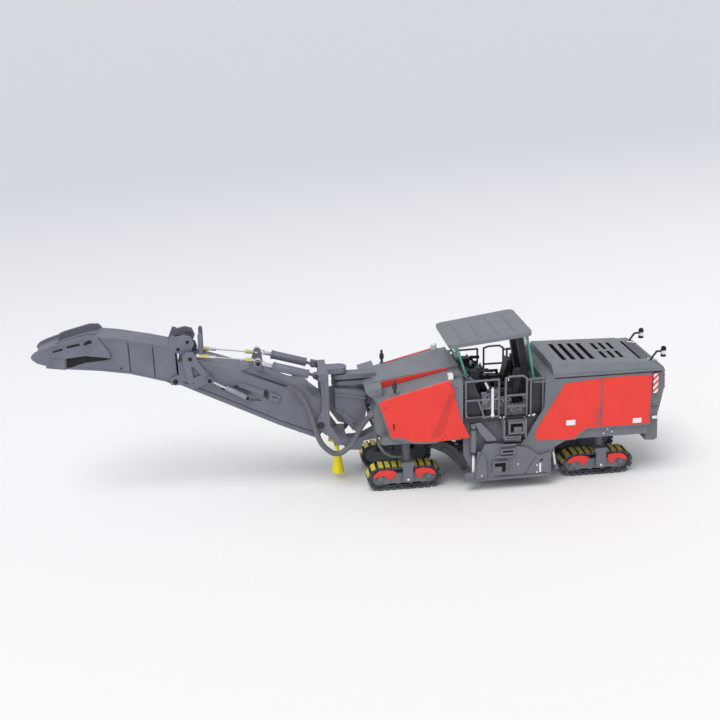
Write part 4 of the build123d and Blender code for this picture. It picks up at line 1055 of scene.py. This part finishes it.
@dataclass
class PlatformDress:
    """Roof ribs, green glass edges, levers, infill and rods of the operator's platform.

    Attributes:
        deck: Height of the floor in millimetres.
        rail: Side of the handrails.
        glass: Half width of the screens.
        lever: Side of the control levers.
        roof_rear: Station and height of the roof's rear edge.
        roof_front: Station and height of its front edge.
    """

    deck: float = 35.5
    rail: float = 23.4
    glass: float = 17.0
    lever: float = 16.8
    roof_rear: Span = (-13.5, 75.2)
    roof_front: Span = (25.3, 70.6)

    def roof(self) -> None:
        """Adds the roof's shallow ribs and the lining under it."""
        ribs = Shape().only(1)
        start, crest = self.roof_rear
        slope = (crest - self.roof_front[1]) / (start - self.roof_front[0])
        for station in (18.0, 9.5, 1.0, -7.0):
            top = crest + slope * (station - start)
            ribs.box((station, station + 0.8), (-14.6, 14.6), (top - 0.3, top + 0.16))
        ribs.finish("roof_ribs", Look.LIT_GREY_ENAMEL, bevel=0.07)
        Shape().only(1).prism([(-11.0, 73.05), (22.5, 69.05), (22.5, 68.75), (-11.0, 72.75)],
                              -15.5, 15.5).finish("roof_lining", Look.DARK_ABS)

    def screens(self) -> None:
        """Adds the green edges of the two screens and the front one's frame."""
        edges = Shape()
        for outline in ([(21.05, 69.2), (22.0, 69.2), (17.66, 55.2), (16.74, 55.2)],
                        [(-14.96, 49.3), (-15.92, 49.3), (-12.1, 73.0), (-11.14, 73.0)]):
            edges.prism(outline, self.glass - 0.5, self.glass + 0.04)
        edges.finish("green_glass_edges", Look.GREEN_EDGE)
        Shape().prism([(20.7, 69.2), (21.3, 69.2), (16.9, 55.2), (16.3, 55.2)],
                      self.glass - 2.6, self.glass - 1.6).finish("screen_frames", Look.DARK_ABS)

    def fittings(self) -> None:
        """Adds levers, displays, dark infill and speckled boxes."""
        levers = Shape().tube(at_side([(5.6, 47.4), (6.4, 50.2), (7.6, 51.6)], self.lever), 0.5,
                              Round.HOSE)
        levers.ball((7.8, self.lever, 51.9), 1.1)
        levers.tube(at_side([(3.2, 47.4), (3.0, 49.2)], self.lever), 0.4, Round.HOSE)
        levers.box((10.0, 14.4), (7.8, 12.2), (50.6, 55.0))
        levers.box((5.0, 10.0), (9.5, 10.5), (54.0, 55.4))
        levers.only(1).rod((8.8, -2.4, 53.4), (9.6, -2.4, 53.9), 2.0, corners=Round.BOSS)
        levers.finish("control_levers", Look.DARK_ABS, bevel=0.15)
        infill = Shape().prism([(18.0, self.deck), (18.0, 53.0), (14.6, 53.0), (11.4, 46.0),
                                (11.4, self.deck)], 19.6, 22.0)
        infill.box((-17.4, -13.0), (19.6, 22.0), (self.deck, 51.6))
        infill.finish("platform_infill", Look.DARK_ABS, bevel=0.2)
        boxes = Shape()
        for stations, heights in (((3.6, 10.8), (self.deck + 3.4, 47.2)),
                                  ((-10.0, -1.0), (self.deck, 40.6)),
                                  ((-10.6, -9.2), (40.6, 44.0))):
            boxes.box(stations, (19.2, 21.6), heights)
        boxes.finish("speckled_boxes", Look.CONSOLE_RESIN, bevel=0.25)

    def rails(self) -> None:
        """Adds lower rails, bright rods, the rails' bolts and the slatted floor."""
        rails = Shape()
        for route, radius in (
            ([(18.6, 39.4), (18.5, 37.6), (17.9, 36.6), (16.9, 36.2), (3.4, 36.2)], 0.58),
            ([(-0.6, 40.6), (-9.8, 40.6)], 0.5), ([(-10.6, 53.2), (-17.2, 53.4)], 0.45),
        ):
            rails.tube(at_side(route, self.rail), radius)
        rails.finish("lower_rails", Look.GREY_ENAMEL)
        foot, top = at_side([(6.0, 37.0), (6.0, 50.4)], self.rail + 0.1)
        rods = Shape().rod(foot, top, 0.62).ball(foot, 0.95)
        rods.tube([(9.0, 21.6, 52.4), (7.6, 21.6, 49.8)], 0.55, Round.HOSE)
        rods.finish("bright_grab_rods", Look.WHITE_PLASTIC)
        stud_pairs("rail_feet_bolts", Look.WHITE_PLASTIC,
                   [(2.4, 35.6), (0.6, 35.6), (-11.4, 35.6), (-13.2, 35.7), (-13.9, 36.0)],
                   self.rail + 0.3, 0.42, 0.6)
        slats("floor_slats", Look.SHADE_AND_DARK_PARTS, 12, (-13.0, 0, self.deck + 0.06), (2.1, 0, 0),
              (0.5, 28.0, 0.16))

    def build(self) -> None:
        """Builds the platform's pieces."""
        self.roof()
        self.screens()
        self.fittings()
        self.rails()


@dataclass
class SidePlateDress:
    """Shield, skid, marks and painted shade in the step recesses of one side plate.

    Attributes:
        name: "left" or "right".
        way: 1 on the left and -1 on the right.
        face: Side of the plate's outer face in millimetres.
        sunk: Depth to which the pieces reach into the plate.
        mark: The same for thin marks.
    """

    name: str
    way: int
    face: float = 26.4
    sunk: float = -0.05
    mark: float = -0.02

    def build(self) -> None:
        """Builds the plate's pieces."""
        body = f"plate_{self.name}"
        for piece, look, bevel, solids in (
            ("curved_shield", Look.GREY_ENAMEL, 0.3,
             [([(14.9, 6.6), (14.6, 10.0), (13.6, 14.6), (12.6, 18.0), (11.6, 19.2),
                (10.4, 18.6), (9.6, 16.4), (9.2, 12.0), (9.0, 6.6)], self.sunk, 0.9)]),
            # Dark plates in the step recesses: painted shade.
            ("step_recess_shade", Look.SHADE_AND_DARK_PARTS, 0.0,
             [([(0.3, 14.4), (5.8, 14.4), (5.8, 9.6), (0.3, 9.6)], self.sunk, 0.2),
              ([(-3.4, 20.6), (2.1, 20.6), (2.1, 19.3), (-3.4, 19.3)], self.sunk, 0.2)]),
            ("step_plates", Look.LIT_GREY_ENAMEL, 0.12,
             [([(2.2, 12.2), (5.8, 12.2), (5.8, 9.4), (2.2, 9.4)], 0.1, 1.2),
              ([(-4.6, 23.3), (3.6, 23.3), (3.6, 22.6), (-4.6, 22.6)], self.sunk, 1.0),
              ([(-3.0, 17.6), (5.0, 17.6), (5.0, 16.8), (-3.0, 16.8)], self.sunk, 1.3)]),
            ("skid", Look.GREY_ENAMEL, 0.1,
             [([(19.6, 5.35), (-21.6, 5.35), (-21.6, 6.6), (19.6, 6.6)], self.sunk, 0.35)]),
            ("white_mark", Look.WHITE_PLASTIC, 0.0,
             [([(-16.0, 12.2), (-16.0, 7.6), (-16.9, 7.6), (-16.9, 12.2)], self.mark, 0.12)]),
            ("plate_lines", Look.SHADE_AND_DARK_PARTS, 0.0,
             [([(-16.0, 13.4), (-17.6, 14.6), (-17.8, 13.9), (-16.4, 12.9)], self.mark, 0.1),
              ([(3.0, 7.2), (-20.0, 7.2), (-20.0, 6.95), (3.0, 6.95)], self.mark, 0.05),
              ([(-9.0, 7.4), (-14.0, 15.6), (-14.25, 15.6), (-9.25, 7.4)], self.mark, 0.05)]),
        ):
            shape = Shape().only(self.way)
            for outline, inner, outer in solids:
                shape.prism(outline, self.face + inner, self.face + outer)
            shape.finish(f"{piece}_{self.name}", look, body, bevel)
        studs(f"plate_bolts_{self.name}", Look.WHITE_PLASTIC,
              [(x, self.way * (self.face + out), z) for x, out, z in (
                  (-14.9, 0.0, 11.3), (-14.9, 0.0, 7.7), (-5.7, 0.0, 12.6), (11.9, 0.8, 8.4))],
              0.38, 0.5, body)
        Shape().only(self.way).pin((16.4, 7.6), self.face - 2.9, self.face - 1.2, 1.7,
                                   corners=Round.BOSS).finish(
            f"lift_eye_{self.name}", Look.GREY_ENAMEL, body, 0.12)


@dataclass
class ChuteDress:
    """Ribs, pins and collars at the front bracket, chute and slewing frame.

    Attributes:
        slew: Station of the slewing axis in millimetres.
        cheek: Outer side of the slewing frame's cheeks.
    """

    slew: float = 75.4
    cheek: float = 11.1

    def bracket(self) -> None:
        """Builds the pieces of the fixed bracket and chute."""
        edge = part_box("transfer_chute")[1].y / MM
        ribs = Shape()
        for outline in ([(self.slew + 2.0, 46.6), (61.0, 43.2), (61.0, 42.4),
                         (self.slew + 2.0, 45.8)],
                        [(self.slew - 2.0, 38.2), (69.2, 29.8), (69.9, 29.2),
                         (self.slew - 1.2, 37.6)]):
            ribs.prism(outline, edge - 0.7, edge + 0.05)
        ribs.finish("chute_ribs", Look.LIT_GREY_ENAMEL, bevel=0.08)
        Shape().only(1).prism([(77.5, 48.6), (80.4, 47.6), (80.4, 37.0), (76.4, 30.6),
                               (71.8, 29.2), (77.5, 38.8)], -1.5, 1.5).finish(
            "chute_nose", Look.BOOM_ENAMEL, bevel=0.15)
        pins = Shape().only(1).rod((self.slew, 0.0, 54.8), (self.slew, 0.0, 55.3), 2.4,
                                   corners=Round.CAP)
        for height in (51.4, 47.8):
            pins.pin((self.slew + 1.6, height), 3.6, 4.4, 0.8, corners=Round.PEG)
        pins.finish("bracket_pins", Look.DARK_ABS, bevel=0.08)
        knob = Shape().only(1).rod((79.0, 0.0, 20.6), (79.0, 0.0, 22.0), 2.6, 2.2, Round.BOSS)
        knob.pin((78.4, 19.4), -4.6, 4.6, 0.55)
        knob.finish("cone_bracket", Look.PAD_YELLOW, bevel=0.15)

    def build(self) -> None:
        """Builds the bracket's and the slewing frame's pieces."""
        self.bracket()
        caps = Shape().pin((85.2, 33.0), self.cheek, self.cheek + 0.7, 1.7, 1.5, Round.BOSS)
        caps.pin(LUFF_BASE, self.cheek, self.cheek + 0.6, 1.2, 1.0, Round.EYE)
        caps.finish("slewing_pins", Look.DARK_ABS, "slewing", 0.06)
        Shape().rod((89.6, self.cheek, 33.6), (87.4, self.cheek, 33.6), 0.5).finish(
            "hose_collars", Look.DARK_ABS, "slewing", 0.08)
        ribs = Shape()
        for outline in ([(81.4, 55.0), (82.0, 55.0), (82.4, 36.0), (81.8, 36.0)],
                        [(83.6, 54.2), (84.1, 54.2), (84.0, 42.0), (83.5, 42.0)]):
            ribs.prism(outline, self.cheek - 0.05, self.cheek + 0.4)
        ribs.finish("slewing_ribs", Look.LIT_GREY_ENAMEL, "slewing", 0.06)


@dataclass
class ConveyorDress:
    """Boxes, seams, pins, turnbuckles and head trim of the conveyor.

    Attributes:
        lower: Half width of the lower boom in millimetres.
        upper: Half width of the upper boom.
        head: Half width of the conveyor's head.
        stay: Side of the stays.
        link: Station and height of the fold links' cross pin.
        cross: Station and height of the lever's cross pin.
    """

    lower: float = 9.0
    upper: float = 7.75
    head: float = 9.0
    stay: float = 6.2
    link: Span = (144.2, 77.0)
    cross: Span = (144.0, 71.4)

    def lower_boom(self) -> None:
        """Adds boxes, dark lines of painted shade along the boxes and above the flange,
        turnbuckles, ribs and pins on the lower boom.
        """
        boxes = Shape()
        for outline, inner, outer in (
            ([(122.6, 56.8), (110.8, 51.9), (111.2, 49.3), (120.4, 53.0), (122.6, 54.6)],
             self.lower - 0.3, self.lower + 0.75),
            ([(108.2, 50.9), (103.4, 48.7), (104.4, 45.2), (108.8, 47.0)],
             self.lower - 0.3, self.lower + 0.9),
            ([(117.6, 62.6), (104.8, 56.6), (105.2, 54.8), (117.8, 60.2)], 6.4, 7.3),
        ):
            boxes.prism(outline, inner, outer)
        boxes.finish("boom_side_boxes", Look.BOOM_ENAMEL, "lower_conveyor", 0.12)
        lines = Shape()
        for outline in ([(110.4, 52.0), (109.9, 52.0), (110.3, 48.6), (110.8, 48.6)],
                        [(109.5, 51.6), (109.1, 51.6), (109.5, 47.8), (109.9, 47.8)],
                        [(107.4, 49.0), (105.0, 48.0), (105.1, 47.6), (107.5, 48.6)],
                        [(124.0, 55.2), (117.4, 51.9), (117.6, 51.5), (124.2, 54.8)]):
            lines.prism(outline, self.lower - 0.2, self.lower + 0.98)
        lines.prism([(147.6, 58.9), (131.2, 50.6), (104.2, 36.4), (88.6, 29.4), (88.7, 29.1),
                     (104.3, 36.1), (131.3, 50.3), (147.7, 58.6)], self.lower - 0.1,
                    self.lower + 0.06)
        lines.finish("boom_shade_lines", Look.SHADE_AND_DARK_PARTS, "lower_conveyor")
        brass = Shape()
        for rear, front, radius, tip, corners in (
            ((139.6, 69.5), (135.2, 68.9), 1.0, 1.0, Round.NUT),
            ((134.9, 68.85), (133.2, 68.6), 0.6, 0.4, Round.PIPE),
            ((118.6, 66.45), (115.0, 65.9), 0.95, 0.95, Round.NUT),
        ):
            brass.rod(*at_side([rear, front], self.stay), radius, tip, corners)
        brass.finish("brass_turnbuckles", Look.TURNED_BRASS, "lower_conveyor", 0.06)
        steel = Shape().ball((140.0, self.stay, 69.6), 1.05)
        steel.rod((114.0, self.stay, 65.8), (112.6, self.stay, 65.6), 0.7)
        steel.finish("stay_eyes", Look.WHITE_PLASTIC, "lower_conveyor")
        slats("boom_floor_ribs", Look.BOOM_ENAMEL, 7, (95.4, 0, 29.6), (7.6, 0, 3.94),
              (0.7, 17.6, 0.5), -0.48, "lower_conveyor", 0.08)
        stud_pairs("boom_pins", Look.SHADE_AND_DARK_PARTS, [FOLD_PIN], self.lower + 0.02, 1.15, 0.5,
                   "lower_conveyor")

    def posts(self) -> None:
        """Adds the stays' posts on the lower boom and the links on the upper one."""
        Shape().prism([(137.7, 66.6), (137.5, 79.4), (138.0, 80.4), (139.0, 80.4),
                       (139.5, 79.4), (139.7, 66.6)], self.stay - 0.9, self.stay + 0.1).finish(
            "stay_posts", Look.BOOM_ENAMEL, "lower_conveyor", 0.15)
        Shape().prism([(151.0, 72.6), (146.6, 70.8), (142.8, 72.4), (141.2, 76.0),
                       (142.4, 79.4), (145.6, 80.4), (150.6, 79.4)], self.upper - 0.9,
                      self.upper - 0.05).finish(
            "fold_links", Look.BOOM_ENAMEL, "upper_conveyor", 0.15)
        dark = Shape().only(1).pin(self.link, -6.9, 6.9, 1.1)
        dark.box((147.6, 150.4), (-6.8, 6.8), (72.2, 76.4))
        dark.finish("fold_link_bar", Look.DARK_ABS, "upper_conveyor", 0.1)
        stud_pairs("fold_link_pins", Look.SHADE_AND_DARK_PARTS, [self.link, (148.6, 73.8)], self.upper,
                   0.8, 0.3, "upper_conveyor")

    def lever(self) -> None:
        """Adds pin heads on the folding lever and its cylinder, and the cross pin."""
        for name, look, body, spots, side, radius, length in (
            ("lever_pins", Look.SHADE_AND_DARK_PARTS, "lever", [(143.1, 57.0), (143.4, 69.6)], 10.5, 0.95,
             0.35),
            ("fold_washers", Look.BOOM_ENAMEL, "fold_rod", [FOLD_TIP], 12.1, 1.9, 0.5),
            ("fold_pins", Look.SHADE_AND_DARK_PARTS, "fold_rod", [FOLD_TIP], 12.3, 1.0, 0.4),
            ("fold_base_pins", Look.SHADE_AND_DARK_PARTS, "fold_barrel", [FOLD_BASE], 11.85, 0.95, 0.3),
        ):
            stud_pairs(name, look, spots, side, radius, length, body)
        cross = Shape().pin(self.cross, 4.2, 6.6, 1.35, corners=Round.EYE)
        cross.only(1).pin(self.cross, -9.4, 9.4, 0.9, corners=Round.PEG)
        cross.finish("lever_cross_pin", Look.DARK_ABS, "lever", 0.05)

    def upper_boom(self) -> None:
        """Adds seams, skirts and bolts on the upper boom."""
        body = "upper_conveyor"
        seams = Shape()
        for station, heights in ((159.8, (60.4, 76.8)), (170.6, (63.8, 79.3))):
            seams.box((station, station + 0.3), (self.upper - 0.28, self.upper - 0.05), heights)
        seams.finish("upper_seams", Look.DARK_ABS, body)
        skirts = Shape().prism([(154.0, 58.4), (171.0, 63.7), (184.4, 66.1), (198.6, 67.9),
                                (198.6, 68.7), (184.2, 67.0), (170.8, 64.6), (153.8, 59.2)],
                               self.upper - 0.1, self.upper + 0.25)
        skirts.prism([(152.6, 74.6), (160.8, 77.0), (176.0, 80.4), (180.0, 80.9), (180.0, 80.2),
                      (176.1, 79.7), (160.9, 76.3), (152.8, 73.9)], self.upper - 0.1,
                     self.upper + 0.2)
        skirts.finish("upper_skirts", Look.BOOM_ENAMEL, body, 0.08)
        stud_pairs("upper_bolts", Look.SHADE_AND_DARK_PARTS, [(152.4, 59.6), (174.8, 66.6)],
                   self.upper + 0.05, 0.4, 0.3, body)

    def head_trim(self) -> None:
        """Adds dark plates in the recesses and slots as painted shade, blocks, plugs and roller
        ribs at the head.
        """
        body = "upper_conveyor"
        dark = Shape().prism([(198.7, 68.2), (198.5, 73.1), (190.0, 73.8), (179.2, 72.4),
                              (178.6, 71.6), (182.0, 70.9), (190.4, 70.4)], self.upper - 0.1,
                             self.upper + 0.1)
        fall = 0.9
        for rear, front, low, tall in ((191.9, 197.7, 78.0, 1.1), (199.6, 204.1, 76.3, 0.9),
                                       (186.5, 189.9, 78.8, 1.7)):
            dark.prism([(rear, low + fall), (front, low), (front - 0.4, low + tall),
                        (rear + 0.5, low + tall + fall)], self.head - 0.52, self.head + 0.03)
        dark.finish("head_recess_shade", Look.SHADE_AND_DARK_PARTS, body)
        blocks = Shape().prism([(205.4, 69.4), (199.4, 68.5), (199.0, 73.0), (205.2, 73.6)],
                               self.head - 0.4, self.head + 0.5)
        blocks.prism([(205.6, 78.6), (190.0, 82.0), (190.0, 81.4), (205.4, 78.0)],
                     self.head - 0.2, self.head + 0.28)
        blocks.finish("head_blocks", Look.BOOM_ENAMEL, body, 0.15)
        Shape().pin((188.4, 77.0), self.head - 0.3, self.head + 0.25, 1.3,
                    corners=Round.BOSS).finish("head_plugs", Look.BOOM_ENAMEL, body, 0.1)
        slats("head_roller_ribs", Look.DARK_ABS, 9, (206.2, -6.0, 71.9), (0, 1.5, 0),
              (5.0, 0.5, 0.5), -0.35, body)

    def luff_span(self, near: float, far: float) -> list[Point]:
        """Gives two points on a luffing cylinder's middle line.

        Args:
            near: Distance of the first one from the base eye in millimetres.
            far: Distance of the second one.

        Returns:
            Station, side and height of both.
        """
        base = Vector(LUFF_BASE)
        way = (Vector(LUFF_TIP) - base).normalized()
        return at_side([tuple(base + way * reach) for reach in (near, far)], LUFF_SIDE)

    def cylinders(self) -> None:
        """Adds end caps, nuts and eye pins on the luffing cylinders."""
        caps = Shape()
        for near, far, radius in ((3.4, 4.2, 2.12), (19.4, 20.5, 2.15)):
            caps.rod(*self.luff_span(near, far), radius, corners=Round.CAP)
        caps.finish("luff_end_caps", Look.BOOM_ENAMEL, "luff_barrel", 0.08)
        Shape().rod(*self.luff_span(24.0, 25.4), 1.35, corners=Round.NUT).finish(
            "luff_rod_nuts", Look.PLATED_ROD, "luff_rod", 0.05)
        stud_pairs("luff_eye_washers", Look.BOOM_ENAMEL, [LUFF_TIP], 10.55, 1.85, 0.4,
                   "luff_rod")
        stud_pairs("luff_eye_pins", Look.SHADE_AND_DARK_PARTS, [LUFF_TIP], 10.75, 0.95, 0.3,
                   "lower_conveyor")

    def build(self) -> None:
        """Builds the conveyor's pieces."""
        self.lower_boom()
        self.posts()
        self.lever()
        self.upper_boom()
        self.head_trim()
        self.cylinders()


# ---------------------------------------------------------------- studio
@dataclass
class Studio:
    """Pale floor, soft light and the camera.

    Attributes:
        focal: Focal length in widths of the sensor.
        azimuth: Camera's direction from +Y towards +X, in degrees.
        elevation: Camera's height above the horizon, in degrees.
        roll: Turn about the view axis, in degrees.
        spot: Camera's place in metres.
        sensor: Width of the camera's sensor in millimetres.
        ambient: Strength of the world's light.
        sun: Strength of the soft main light.
        softness: Angle of the soft main light in degrees.
        floor_half: Half width of the floor in metres.
        near_tone: Floor's colour near the model, the lit end of the painted falloff.
        far_tone: Floor's colour in the distance, painted shade at the far end.
        room_light: Colour of the world's light.
        room_tone: Colour of the world as the camera and reflections see it.
    """

    focal: float = 1.536111
    azimuth: float = 5.99
    elevation: float = 18.41
    roll: float = -1.89
    spot: Point = (0.0493, 0.4941, 0.2258)
    sensor: float = 36.0
    ambient: float = 0.62
    sun: float = 1.45
    softness: float = 38.0
    floor_half: float = 60.0
    near_tone: str = "#FFFFFF"
    far_tone: str = "#D9DBE1"
    room_light: str = "#F4F6FA"
    room_tone: str = "#D8DADF"

    def floor(self) -> None:
        """Adds the floor, painted darker with distance: a painted falloff of light that fades it
        into the backdrop.
        """
        half = self.floor_half
        data = bpy.data.meshes.new("studio_floor")
        data.from_pydata([(-half, -half, 0), (half, -half, 0), (half, half, 0), (-half, half, 0)],
                         [], [(0, 1, 2, 3)])
        floor = link_object("studio_floor", data)
        material = bpy.data.materials.new("pale_studio_card")
        tree = fresh_tree(material)
        where = add_node(tree, "ShaderNodeTexCoord").outputs["Object"]
        parts = add_node(tree, "ShaderNodeSeparateXYZ", {"Vector": where}).outputs
        aside = add_node(tree, "ShaderNodeMath", {0: parts["X"], 1: -0.3}, operation="MULTIPLY")
        depth = add_node(tree, "ShaderNodeMath", {0: parts["Y"], 1: aside.outputs[0]},
                         operation="ADD")
        share = add_node(tree, "ShaderNodeMapRange",
                         {"Value": depth.outputs[0], "From Min": 0.12, "From Max": -1.1},
                         interpolation_type="SMOOTHSTEP")
        mix = add_node(tree, "ShaderNodeMix",
                       {"Factor": share.outputs["Result"], MIX_ONE: linear(self.near_tone),
                        MIX_TWO: linear(self.far_tone)}, data_type="RGBA")
        shader = add_node(tree, "ShaderNodeBsdfPrincipled",
                          {"Base Color": mix.outputs[MIX_RESULT], "Roughness": 0.7,
                           "Specular IOR Level": 0.15})
        add_node(tree, "ShaderNodeOutputMaterial", {"Surface": shader.outputs["BSDF"]})
        data.materials.append(material)

    def light(self) -> None:
        """Adds the world's light and one soft main light."""
        world = bpy.data.worlds.new("pale_room")
        bpy.context.scene.world = world
        tree = fresh_tree(world)
        path = add_node(tree, "ShaderNodeLightPath").outputs
        seen = add_node(tree, "ShaderNodeMath",
                        {0: path["Is Camera Ray"], 1: path["Is Glossy Ray"]}, operation="MAXIMUM")
        seen = add_node(tree, "ShaderNodeMath",
                        {0: seen.outputs[0], 1: path["Is Transmission Ray"]},
                        operation="MAXIMUM")
        dim = add_node(tree, "ShaderNodeBackground",
                       {"Color": linear(self.room_light), "Strength": self.ambient})
        pale = add_node(tree, "ShaderNodeBackground",
                        {"Color": linear(self.room_tone), "Strength": 1.0})
        mix = add_node(tree, "ShaderNodeMixShader",
                       {0: seen.outputs[0], 1: dim.outputs[0], 2: pale.outputs[0]})
        add_node(tree, "ShaderNodeOutputWorld", {"Surface": mix.outputs[0]})
        lamp = bpy.data.lights.new("soft_main", "SUN")
        lamp.energy = self.sun
        lamp.angle = math.radians(self.softness)
        lamp.color = (1.0, 0.995, 0.985)
        way = Vector((0.45, 0.55, 1.25)).normalized()
        link_object("soft_main", lamp).rotation_euler = way.to_track_quat("Z", "Y").to_euler()

    def camera(self) -> None:
        """Adds the camera at the viewing angle."""
        lens = bpy.data.cameras.new("camera")
        lens.sensor_width = self.sensor
        lens.lens = self.focal * self.sensor
        lens.clip_start = 0.01
        lens.clip_end = 200.0
        a, e, r = (math.radians(v) for v in (self.azimuth, self.elevation, self.roll))
        back = Vector((math.sin(a) * math.cos(e), math.cos(a) * math.cos(e), math.sin(e)))
        level = (-back).cross(Vector((0, 0, 1))).normalized()
        upright = level.cross(-back)
        right = level * math.cos(r) + upright * math.sin(r)
        up = upright * math.cos(r) - level * math.sin(r)
        turn = Matrix((right, up, back)).transposed().to_4x4()
        camera = link_object("camera", lens)
        camera.matrix_world = Matrix.Translation(Vector(self.spot)) @ turn
        bpy.context.scene.camera = camera

    def build(self) -> None:
        """Builds the studio."""
        self.floor()
        self.light()
        self.camera()
        bpy.context.scene.view_settings.view_transform = "Standard"


def main() -> None:
    """Builds the dressed model and its studio."""
    logging.basicConfig(level=logging.INFO, format="%(message)s")
    dress_solids()
    for name in ("front_left", "front_right", "rear_left", "rear_right"):
        CrawlerDress(name).build()
    RearBodyDress().build()
    FrontBodyDress().build()
    PlatformDress().build()
    SidePlateDress("left", 1).build()
    SidePlateDress("right", -1).build()
    ChuteDress().build()
    ConveyorDress().build()
    Studio().build()


if __name__ == "__main__":
    main()
